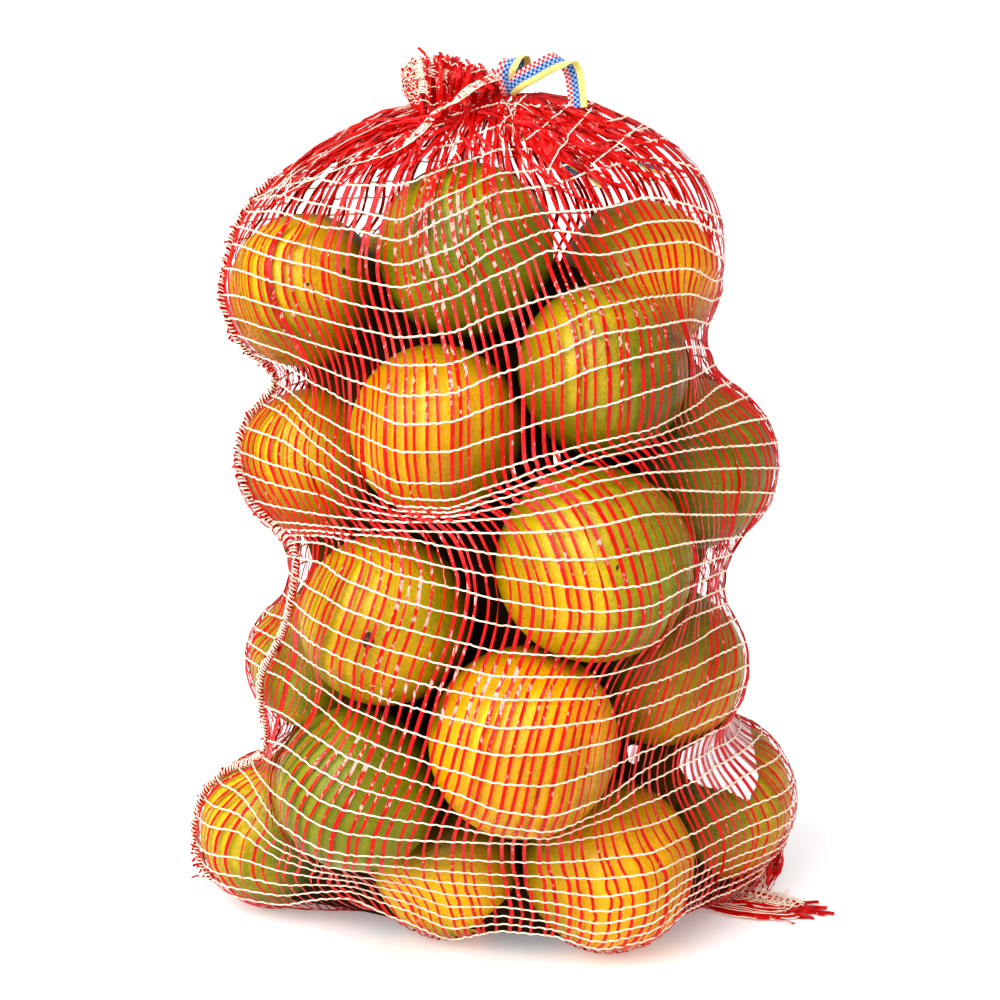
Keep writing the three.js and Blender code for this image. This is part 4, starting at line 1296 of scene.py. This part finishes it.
# -- the bottom seam under the base, which runs out to the loose corner
seam_b = np.array([(-92, 17, 1.0), (-50, 16, 0.9), (0, 16, 0.9), (50, 16, 0.9), (82, 18, 1.4)], float)
sb = resample(seam_b, 500)
s_len = np.linalg.norm(np.diff(sb, axis=0), axis=1).sum()
w = np.linspace(0, 2 * math.pi * s_len / 2.8, 500)
q = sb + np.array([0, 1, 0]) * (1.6 * np.cos(w))[:, None] + np.array([0, 0, 1]) * (0.25 * np.sin(w))[:, None]
white_parts.append(thread(q, 0.24, (0, 0, 1)))
white_parts.append(thread(sb + np.array([0, 1, 0]) * 1.5, 0.24, (0, 0, 1)))

# -- the loose corner: two layers of net, sewn along the upper edge, with tape ends beyond
UP_EDGE = np.array([(700, 893), (722, 890), (750, 891), (778, 898), (804, 907)], float)
LO_EDGE = np.array([(695, 904), (720, 914), (758, 921), (785, 921), (799, 920)], float)
up_d = np.interp(np.linspace(0, 1, 5), [0, 1], [27.0, 13.0])
up3 = resample(np.array([px3(x, y, d) for (x, y), d in zip(UP_EDGE, [29, 28, 26, 21, 14])]), 120)
lo3 = resample(np.array([px3(x, y, d) for (x, y), d in zip(LO_EDGE, [17, 6, 0.5, 0.5, 2.0])]), 120)
up3[:, 2] = np.clip(up3[:, 2], 1.2, None); lo3[:, 2] = np.clip(lo3[:, 2], 0.7, 2.4)
for j in range(36):
    f = (j + rng.uniform(0, 1)) / 36
    s0, s1 = rng.uniform(0.0, 0.25), rng.uniform(0.75, 1.0)
    s = np.linspace(s0, s1, 16)
    a_ = np.stack([np.interp(s, np.linspace(0, 1, 120), up3[:, k]) for k in range(3)], -1)
    b_ = np.stack([np.interp(s, np.linspace(0, 1, 120), lo3[:, k]) for k in range(3)], -1)
    v = np.clip(f + wobble(16, 0.03, 4.0), 0.02, 1.0)[:, None]
    p = a_ * (1 - v) + b_ * v
    p[:, 2] += 0.6 + 2.2 * np.sin(math.pi * v[:, 0]) * rng.uniform(0.2, 1) + wobble(16, 0.15, 2.0)
    p[:, 2] = np.maximum(p[:, 2], 0.5)
    red_parts.append(strip(p, (0, -0.3, 1), 0.75 * rng.uniform(0.8, 1.25), 0.05, twist=wobble(16, 0.35, 4.0)))
for e3, n_l in ((up3, 1), (lo3, 1)):
    white_parts.append(thread(e3 + np.array([0, 0, 0.5]) + np.array([0, 1, 0.3]) * wobble(120, 0.15, 3)[:, None], 0.30, (0, 0, 1)))
lenu = np.linalg.norm(np.diff(up3, axis=0), axis=1).sum()
n_z = int(lenu / 2.5 * 12)
sz = np.linspace(0, 1, n_z)
a_ = np.stack([np.interp(sz, np.linspace(0, 1, 120), up3[:, k]) for k in range(3)], -1)
b_ = np.stack([np.interp(sz, np.linspace(0, 1, 120), lo3[:, k]) for k in range(3)], -1)
dn_ = unit(b_ - a_)
w = 2 * math.pi * sz * lenu / 2.5
ends_in = np.clip(np.minimum(sz, 1 - sz) * 8, 0.25, 1)
q = (a_ + dn_ * ((4.2 + 4.2 * np.cos(w)) * ends_in)[:, None] + unit(np.gradient(a_, axis=0)) * (0.8 * np.sin(w))[:, None]
     + np.array([0, -1.6, 0]) + np.array([0, 0, 1.0]) * (2.7 + 0.4 * np.sin(w * 0.31))[:, None])
white_parts.append(thread(q, 0.40, (0, -0.4, 1)))
q = (a_ + dn_ * ((9.0 + 3.6 * np.cos(w * 0.83 + 1.0)) * ends_in)[:, None] + unit(np.gradient(a_, axis=0)) * (0.9 * np.sin(w * 0.83 + 1.0))[:, None]
     + np.array([0, -1.6, 0]) + np.array([0, 0, 1.0]) * (2.5 + 0.4 * np.sin(w * 0.27))[:, None])
white_parts.append(thread(q, 0.24, (0, -0.4, 1)))
for j in range(14):                         # white threads drawn along the corner
    f = (j + rng.uniform(0, 1)) / 14
    s = np.linspace(rng.uniform(0.0, 0.2), rng.uniform(0.8, 1.0), 14)
    a1 = np.stack([np.interp(s, np.linspace(0, 1, 120), up3[:, k]) for k in range(3)], -1)
    b1 = np.stack([np.interp(s, np.linspace(0, 1, 120), lo3[:, k]) for k in range(3)], -1)
    v = np.clip(f + wobble(14, 0.03, 4.0), 0.0, 1.0)[:, None]
    p = a1 * (1 - v) + b1 * v
    p[:, 2] += 2.4 + wobble(14, 0.3, 2.0)
    white_parts.append(thread(p, 0.20, (0, -0.4, 1)))
q = a_ - dn_ * (1.0 + 1.4 * np.cos(w * 1.1))[:, None] + np.array([0, 0, 0.8])
white_parts.append(thread(q, 0.20, (0, -0.4, 1)))
for j in range(16):                         # tape ends past the last threads
    s = rng.uniform(0.72, 1.0)
    a1 = np.array([np.interp(s, np.linspace(0, 1, 120), up3[:, k]) for k in range(3)])
    b1 = np.array([np.interp(s, np.linspace(0, 1, 120), lo3[:, k]) for k in range(3)])
    f = rng.uniform(0, 1)
    p0 = a1 * (1 - f) + b1 * f
    L = rng.uniform(9, 18)
    d = unit(np.array([1.0, rng.normal(-0.12, 0.22), -0.02]))
    p = p0 + d * (np.linspace(0, 1, 8) * L)[:, None]
    p[:, 0] = np.minimum(p[:, 0], 139.5)
    p[:, 2] = np.maximum(0.6 + wobble(8, 0.3, 2.0) + np.linspace(0.8, 0.1, 8), 0.35)
    red_parts.append(strip(p, (0, -0.2, 1), 0.85, 0.05, twist=wobble(8, 0.3, 3)))
for j in range(12):                         # thin white ends
    s = rng.uniform(0.3, 1.0)
    a1 = np.array([np.interp(s, np.linspace(0, 1, 120), up3[:, k]) for k in range(3)])
    d = unit(np.array([0.8, rng.uniform(0.0, 1.0), 0.5]))
    p = a1 + d * (np.linspace(0, 1, 7) * rng.uniform(2, 6))[:, None]
    p[:, 2] = np.maximum(p[:, 2] + wobble(7, 0.3, 2), 0.35)
    white_parts.append(thread(p, 0.18, (0, 0, 1)))
# slack net bunched between the last orange and the loose corner
for j in range(52):
    tx, ty = rng.uniform(742, 787), rng.uniform(822, 852)
    bx, by = rng.uniform(700, 768), rng.uniform(886, 900)
    dt = 34 + rng.uniform(-7, 10); db = 30 + rng.uniform(-6, 6)
    top = px3(tx, ty, dt); bot = px3(bx, by, db)
    bot[2] = max(bot[2], 0.8)
    mid = (top + bot) / 2 + np.array([rng.uniform(-1, 3), 0, rng.uniform(-2, 2)])
    p = resample(np.stack([top, mid, bot]), 14) + np.array([1, 0, 0.3]) * wobble(14, 0.35, 2.2)[:, None]
    p[:, 2] = np.maximum(p[:, 2], 0.6)
    if j % 3:
        white_parts.append(thread(p, 0.26, (0.4, -1, 0)))
    else:
        red_parts.append(strip(p, (0.4, -1, 0.1), 0.62 * rng.uniform(0.7, 1.2), 0.05, twist=wobble(14, 0.7, 3.0)))

for j in range(44):
    f = rng.uniform(0, 1)
    t0 = np.array([np.interp(f, [0, 1], [762, 786]), rng.uniform(815, 842), 34 + rng.uniform(-4, 8)])
    t1 = np.array([np.interp(f, [0, 1], [758, 783]), 861 + rng.uniform(-5, 5), 33 + rng.uniform(-5, 6)])
    t2 = np.array([np.interp(f, [0, 1], [742, 772]) + rng.normal(0, 3), 890 + rng.uniform(-8, 5), 31 + rng.uniform(-4, 6)])
    p = resample(np.array([px3(*t) for t in (t0, t1, t2)]), 16) + np.array([1, 0, 0.2]) * wobble(16, 0.45, 2.0)[:, None]
    p[:, 2] = np.maximum(p[:, 2], 0.6)
    if j % 2 == 0:
        white_parts.append(thread(p, 0.26, (0.4, -1, 0)))
    else:
        red_parts.append(strip(p, (0.4, -1, 0.1), 0.50 * rng.uniform(0.7, 1.2), 0.05, twist=wobble(16, 0.7, 3.0)))

rv, rf = merge(red_parts)
loose_red = new_object("net_folds", rv, rf, RED, smooth=False)
wv2, wf2 = merge(white_parts)
loose_white = new_object("net_stitching", wv2, wf2, WHITE, color={"knot": np.zeros((len(wv2), 3))})
extra += [loose_red, loose_white]


# -- the woven ribbon
def ribbon_material():
    mat, nt, bsdf = material("woven_ribbon")
    uv = node(nt, "ShaderNodeUVMap", uv_map="UVMap")
    sep = node(nt, "ShaderNodeSeparateXYZ")
    nt.links.new(uv.outputs[0], sep.inputs[0])
    chk = node(nt, "ShaderNodeTexChecker")
    chk.inputs["Scale"].default_value = 1.0
    nt.links.new(uv.outputs[0], chk.inputs["Vector"])
    fine_n = noise(nt, 900.0, 2.0, 0.6, node(nt, "ShaderNodeTexCoord").outputs["Object"])
    red = mix_color(nt, chk.outputs["Fac"], srgb(216, 20, 34), srgb(250, 214, 214))
    blue = mix_color(nt, chk.outputs["Fac"], srgb(6, 72, 160), srgb(150, 190, 232))
    yel = mix_color(nt, fine_n.outputs[0], srgb(238, 222, 96), srgb(255, 246, 168))
    is_blue = map_range(nt, sep.outputs[0], 1.99, 2.01, 0.0, 1.0)
    is_yel = map_range(nt, sep.outputs[0], 4.3, 4.32, 0.0, 1.0)
    col = mix_color(nt, is_blue, red, blue)
    col = mix_color(nt, is_yel, col, yel)
    dirt = map_range(nt, fine_n.outputs[0], 0.3, 0.7, 0.88, 1.05)
    hs = node(nt, "ShaderNodeHueSaturation")
    nt.links.new(col, hs.inputs["Color"]); nt.links.new(dirt, hs.inputs["Value"])
    nt.links.new(hs.outputs[0], bsdf.inputs["Base Color"])
    rough = map_range(nt, fine_n.outputs[0], 0.2, 0.8, 0.5, 0.75)
    nt.links.new(rough, bsdf.inputs["Roughness"])
    wave = node(nt, "ShaderNodeTexWave", wave_type="BANDS", bands_direction="Y")
    wave.inputs["Scale"].default_value = 1.0
    nt.links.new(uv.outputs[0], wave.inputs["Vector"])
    add = node(nt, "ShaderNodeMath", operation="ADD")
    nt.links.new(wave.outputs["Fac"], add.inputs[0]); nt.links.new(fine_n.outputs[0], add.inputs[1])
    bump = node(nt, "ShaderNodeBump")
    bump.inputs["Strength"].default_value = 0.6
    bump.inputs["Distance"].default_value = 0.0003
    nt.links.new(add.outputs[0], bump.inputs["Height"])
    nt.links.new(bump.outputs[0], bsdf.inputs["Normal"])
    return mat


WOVEN = ribbon_material()


def ribbon(path_side, n, width=7.0, thick=0.45):
    """path_side rows: x, y, z, sx, sy, sz; a flat solid ribbon with its width along the side."""
    c = resample(path_side, n)
    p, s = c[:, :3], c[:, 3:]
    t = unit(np.gradient(p, axis=0))
    s = unit(s - t * np.einsum("ij,ij->i", s, t)[:, None])
    o = np.cross(s, t)
    across = np.linspace(-0.5, 0.5, 9)
    cum_l = np.concatenate([[0], np.cumsum(np.linalg.norm(np.diff(p, axis=0), axis=1))])
    verts, uvs = [], []
    for sgn in (1, -1):
        for a in (across if sgn > 0 else across[::-1]):
            bow = 0.25 * (1 - (2 * a) ** 2)
            edge = 0.5 if abs(a) < 0.49 else 0.2
            verts.append(p + s * (a * width) + o * (bow + sgn * thick * edge))
            uvs.append(np.stack([np.full(n, (a + 0.5) * 6.6 + 0.01), cum_l / 0.95], -1))
    K = len(verts)
    V = np.stack(verts, 1).reshape(-1, 3); U = np.stack(uvs, 1).reshape(-1, 2)
    i = np.arange(n - 1)[:, None]; k = np.arange(K)[None, :]
    q = np.stack(np.broadcast_arrays(i * K + k, i * K + (k + 1) % K, (i + 1) * K + (k + 1) % K, (i + 1) * K + k), -1).reshape(-1, 4)
    h = K // 2
    ends = []
    for row, flip in ((0, True), (n - 1, False)):
        for a in range(h - 1):
            f = [row * K + a, row * K + a + 1, row * K + K - 2 - a, row * K + K - 1 - a]
            ends.append(f[::-1] if flip else f)
    return V, np.vstack([q, np.array(ends)]), U


def px_rows(rows):
    return np.array([np.concatenate([px3(x, y, d), s]) for x, y, d, s in rows], float)


big = px_rows([(507, 92, -5, (0.6, 0.3, -0.6)), (512, 86, -7, (0.5, 0.2, -0.8)), (520, 80, -9, (0.45, 0.0, -0.88)),
               (533, 73, -10, (0.47, 0.0, -0.88)), (545, 66, -9.5, (0.52, 0.0, -0.85)), (554.5, 61.5, -8.5, (0.68, 0.0, -0.72)),
               (563, 60.5, -6, (0.88, 0.0, -0.4)), (569.5, 65, -3.5, (0.98, 0.0, -0.1)), (573.5, 73, -3, (1, 0.0, 0.1)),
               (575.5, 83, -4, (0.99, 0.0, 0.14)), (577, 95, -6, (0.98, 0, 0.16)), (578, 108, -8, (0.98, 0, 0.16))])
small = px_rows([(511, 93, -4, (0.8, 0.5, 0)), (507.5, 85, -7, (0.8, 0.6, 0.1)), (505.5, 76, -9, (0.97, 0.2, 0.1)),
                 (507.5, 67, -9.5, (1, 0.0, 0.12)), (513.5, 60, -8, (0.95, 0, 0.25)), (519.5, 58.2, -4.5, (0.95, 0.0, 0.2)),
                 (521.5, 63, -1, (1, 0, 0)), (518, 74, 0, (0.98, 0, 0)), (513, 88, -1, (0.95, 0, 0))])
rb = [ribbon(big, 70), ribbon(small, 56)]
off, RVv, RFf, RUu = 0, [], [], []
for v, f, u in rb:
    RVv.append(v); RFf.append(f + off); RUu.append(u); off += len(v)
cord = new_object("ribbon_loops", np.concatenate(RVv), [np.concatenate(RFf)], WOVEN, uv=np.concatenate(RUu))


def under_net(px_pts, n, depth_mm):
    c = resample(np.array(px_pts, float), n)
    p, n_ = net_point(c[:, 0], c[:, 1], 0.0)
    k = np.ones(5) / 5
    p = np.stack([np.convolve(np.pad(p[:, j], 2, mode="edge"), k, "valid") for j in range(3)], -1)
    return p - n_ * depth_mm, n_


off, RVv, RFf, RUu = 0, [], [], []
for pts, dmm in (([(509, 99), (513, 116), (523, 131), (540, 142), (560, 154), (584, 170), (608, 184)], 3.2),
                 ([(577, 104), (572, 124), (584, 142), (606, 151), (631, 157), (655, 163), (680, 171)], 3.4)):
    p, n_ = under_net(pts, 34, dmm)
    t = unit(np.gradient(p, axis=0))
    s0 = unit(np.cross(t, n_))
    tw = np.linspace(0.2, 1.3, 34) + wobble(34, 0.5, 6.0)
    s = s0 * np.cos(tw)[:, None] + n_ * np.sin(tw)[:, None]
    v, f, u = ribbon(np.hstack([p, s]), 60, width=5.6)
    RVv.append(v); RFf.append(f + off); RUu.append(u); off += len(v)
tails = new_object("ribbon_tails", np.concatenate(RVv), [np.concatenate(RFf)], WOVEN, uv=np.concatenate(RUu))
extra += [tails]


# -- the bare paper slip between net and fruit
def paper_material():
    mat, nt, bsdf = material("slip_paper")
    tc = node(nt, "ShaderNodeTexCoord")
    n = noise(nt, 70.0, 3.0, 0.6, tc.outputs["Object"])
    n2 = noise(nt, 700.0, 3.0, 0.6, tc.outputs["Object"])
    col = mix_color(nt, n.outputs[0], srgb(255, 250, 248), srgb(236, 232, 238))
    nt.links.new(col, bsdf.inputs["Base Color"])
    nt.links.new(map_range(nt, n2.outputs[0], 0.2, 0.8, 0.55, 0.75), bsdf.inputs["Roughness"])
    bump = node(nt, "ShaderNodeBump")
    bump.inputs["Strength"].default_value = 0.3
    bump.inputs["Distance"].default_value = 0.0003
    nt.links.new(n2.outputs[0], bump.inputs["Height"])
    nt.links.new(bump.outputs[0], bsdf.inputs["Normal"])
    return mat


PAPER = paper_material()


def sheet(top_px, bottom_px, n_s, n_t, depth_mm, name, thick=0.12, crumple=0.15, jag=0.0):
    T = resample(np.array(top_px, float), n_s); B = resample(np.array(bottom_px, float), n_s)
    t = np.linspace(0, 1, n_t)[None, :, None]
    g = (T[:, None, :] * (1 - t) + B[:, None, :] * t).reshape(-1, 2)
    p, n_ = net_point(g[:, 0], g[:, 1], -depth_mm)
    p = p.reshape(n_s, n_t, 3); n_ = n_.reshape(n_s, n_t, 3)
    ii, jj = np.meshgrid(np.arange(n_s), np.arange(n_t), indexing="ij")
    for _ in range(6):
        p[1:-1] = 0.25 * p[:-2] + 0.5 * p[1:-1] + 0.25 * p[2:]
        p[:, 1:-1] = 0.25 * p[:, :-2] + 0.5 * p[:, 1:-1] + 0.25 * p[:, 2:]
    if jag:
        tooth = np.abs(((np.arange(n_s) * 0.31 + 0.6 * np.sin(np.arange(n_s) * 0.9)) % 1) - 0.5) * 2
        p[:, -1] += (p[:, -1] - p[:, -2]) * (jag * tooth)[:, None]
    p = p + n_ * (crumple * 0.5 * (np.sin(ii * 0.7 + 0.3 * jj) * np.sin(jj * 0.6 - 0.2 * ii) - 0.5))[..., None]
    # never past the net
    d = p.reshape(-1, 3) - np.array([0, AXIS_Y, 0])
    rad = np.hypot(d[:, 0], d[:, 1]); th_p = np.arctan2(d[:, 1], d[:, 0]) % (2 * math.pi)
    lim = at(RS, th_p, np.clip(d[:, 2], 1, MOUTH_Z - 1)) - 0.35
    cut = np.minimum(rad, lim) / rad
    p = (np.array([0, AXIS_Y, 0]) + d * np.stack([cut, cut, np.ones_like(cut)], -1)).reshape(n_s, n_t, 3)
    a = (p + n_ * thick / 2).reshape(-1, 3); b = (p - n_ * thick / 2).reshape(-1, 3)
    V = np.vstack([a, b]); N = n_s * n_t
    i, j = np.meshgrid(np.arange(n_s - 1), np.arange(n_t - 1), indexing="ij")
    q = (i * n_t + j).ravel()
    top = np.stack([q, q + 1, q + n_t + 1, q + n_t], -1)
    bot = top[:, ::-1] + N
    rim = np.concatenate([np.arange(n_t - 1), (np.arange(n_s - 1) * n_t + n_t - 1),
                          (N - 1 - np.arange(n_t - 1)), ((n_s - 1 - np.arange(n_s - 1)) * n_t)])
    rim2 = np.roll(rim, -1)
    side_q = np.stack([rim2, rim, rim + N, rim2 + N], -1)
    return new_object(name, V, [np.vstack([top, bot, side_q])], PAPER, smooth=True)


slip = sheet([(683, 752), (700, 742), (718, 730), (731, 720), (741, 712), (751, 728)],
             [(680, 766), (690, 779), (706, 786), (727, 788), (749, 796), (759, 776)], 60, 26, 0.30, "paper_slip", jag=1.6)
bit = sheet([(628, 748), (634, 744), (641, 747)], [(630, 762), (635, 766), (640, 761)], 8, 8, 0.5, "paper_bit")
bit2 = sheet([(553, 452), (557, 449), (560, 452)], [(554, 463), (557, 466), (561, 463)], 8, 8, 0.5, "paper_bit_2")
extra += [slip, bit, bit2]


# -- a bit of leaf at the seam and specks on the skins
def speck_material(name, c0, c1):
    mat, nt, bsdf = material(name)
    tc = node(nt, "ShaderNodeTexCoord")
    n = noise(nt, 900.0, 3.0, 0.6, tc.outputs["Object"])
    nt.links.new(mix_color(nt, n.outputs[0], srgb(*c0), srgb(*c1)), bsdf.inputs["Base Color"])
    nt.links.new(map_range(nt, n.outputs[0], 0.2, 0.8, 0.5, 0.8), bsdf.inputs["Roughness"])
    bump = node(nt, "ShaderNodeBump")
    bump.inputs["Strength"].default_value = 0.5
    bump.inputs["Distance"].default_value = 0.0002
    nt.links.new(n.outputs[0], bump.inputs["Height"])
    nt.links.new(bump.outputs[0], bsdf.inputs["Normal"])
    return mat


ALL_V = np.concatenate(ov)
AX, AY = to_px(ALL_V)
A_DEP = (ALL_V - CAM_P) @ C_F
parts = []
for x, y, r, el in ((345, 270, 0.9, 1.4), (308, 283, 0.6, 1.0), (584, 495, 0.6, 1.0), (615, 566, 0.5, 2.2), (627, 583, 0.4, 1.8)):
    d = (AX - x) ** 2 + (AY - y) ** 2
    near = np.where(d < 9.0)[0]
    if len(near) == 0:
        near = np.array([int(np.argmin(d))])
    j = near[int(np.argmin(A_DEP[near]))]
    c = ALL_V[j]
    f = int(np.argmin(np.linalg.norm(FC - c, axis=1) - FR))
    o = unit(c - FC[f])
    a = unit(np.cross(o, [0.3, 0.1, 1.0])); b = np.cross(o, a)
    v = c + ico(2)[0] @ np.stack([a * r, b * r * el, o * 0.22])
    parts.append((v, [ico(2)[1]]))
BUTTON = from_px(365.5, 641.0, 0.0)
ray = unit(BUTTON - CAM_P)
ci = [f[0] for f in FRUIT].index("I")
to_c = CAM_P - FC[ci]
b_ = ray @ to_c
o = unit(to_c + ray * (-b_ - math.sqrt(b_ * b_ - to_c @ to_c + FR[ci] ** 2)))
j = int(np.argmax(unit(ALL_V - FC[ci]) @ o - 10.0 * (np.abs(np.linalg.norm(ALL_V - FC[ci], axis=1) - FR[ci]) > 4.0)))
a = unit(np.cross(o, [0.15, 0.1, 1.0])); b = np.cross(o, a)
parts.append((ALL_V[j] + o * 0.12 + ico(3)[0] @ np.stack([a * 2.2, b * 3.5, o * 0.30]), [ico(3)[1]]))
sv_, sf_ = merge(parts)
specks = new_object("skin_specks", sv_, sf_, speck_material("dry_speck", (70, 50, 20), (30, 20, 10)))
leaf_p, leaf_n = net_point([289], [547], 0.8)
lv = leaf_p[0] + ico(2)[0] @ np.stack([[0.5, 0, 1.9], [1.0, 0.4, -0.3], [0.1, -0.35, 0.1]])
leaf = new_object("leaf_bit", lv, [ico(2)[1]], speck_material("leaf", (52, 66, 24), (92, 104, 40)))
extra += [specks, leaf]

pieces = [oranges, oranges_b, oranges_c, inner, calyx, tapes, threads] + extra

# ------------------------------------------------------------------ stage, light, camera
def floor_material():
    mat, nt, bsdf = material("pale_floor")
    tc = node(nt, "ShaderNodeTexCoord")
    n = noise(nt, 6.0, 2.0, 0.5, tc.outputs["Object"])
    col = mix_color(nt, n.outputs[0], (0.80, 0.80, 0.81, 1), (0.83, 0.83, 0.83, 1))
    nt.links.new(col, bsdf.inputs["Base Color"])
    bsdf.inputs["Roughness"].default_value = 0.6
    bsdf.inputs["Specular IOR Level"].default_value = 0.2
    bsdf.inputs["Emission Color"].default_value = (1, 1, 1, 1)
    bsdf.inputs["Emission Strength"].default_value = 0.22
    return mat


fm = bpy.data.meshes.new("floor")
S = 6.0
fm.from_pydata([(-S, -2, 0), (S, -2, 0), (S, S, 0), (-S, S, 0)], [], [(0, 1, 2, 3)])
fm.materials.append(floor_material())
floor = bpy.data.objects.new("floor", fm)
bpy.context.scene.collection.objects.link(floor)

world = bpy.data.worlds.new("world")
bpy.context.scene.world = world
world.use_nodes = True
wt = world.node_tree
bg = wt.nodes["Background"]
bg.inputs[0].default_value = (1.0, 1.0, 1.0, 1)
bg.inputs[1].default_value = 0.55
bg2 = wt.nodes.new("ShaderNodeBackground")
bg2.inputs[0].default_value = (1.0, 1.0, 1.0, 1)
bg2.inputs[1].default_value = 1.0
lp = wt.nodes.new("ShaderNodeLightPath")
mx = wt.nodes.new("ShaderNodeMixShader")
wt.links.new(lp.outputs["Is Camera Ray"], mx.inputs[0])
wt.links.new(bg.outputs[0], mx.inputs[1])
wt.links.new(bg2.outputs[0], mx.inputs[2])
wt.links.new(mx.outputs[0], wt.nodes["World Output"].inputs[0])


def sun(name, direction, strength, angle):
    ld = bpy.data.lights.new(name, "SUN")
    ld.energy = strength
    ld.angle = math.radians(angle)
    ob = bpy.data.objects.new(name, ld)
    ob.rotation_euler = Vector(direction).to_track_quat("-Z", "Y").to_euler()
    bpy.context.scene.collection.objects.link(ob)
    return ob


sun("key_light", (0.60, 0.78, -0.80), 3.7, 62)
sun("fill_light", (-0.8, 0.5, -0.5), 0.35, 60)

cam_data = bpy.data.cameras.new("camera")
cam_data.lens = 85.0
cam_data.sensor_width = 36.0
cam_data.clip_start = 0.05
cam_data.clip_end = 50
cam = bpy.data.objects.new("camera", cam_data)
cam.location = Vector((CAM_P + SHIFT) * MM)
cam.rotation_euler = (math.radians(90) - CAM_E, 0, 0)
bpy.context.scene.collection.objects.link(cam)
bpy.context.scene.camera = cam
bpy.context.scene.view_settings.view_transform = "Standard"
try:
    bpy.context.scene.view_settings.look = "Medium High Contrast"
except TypeError:
    bpy.context.scene.view_settings.look = "None"

for p in pieces:
    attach(p, "root")
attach(cord, "root")
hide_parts("net")
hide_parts("drawstring")
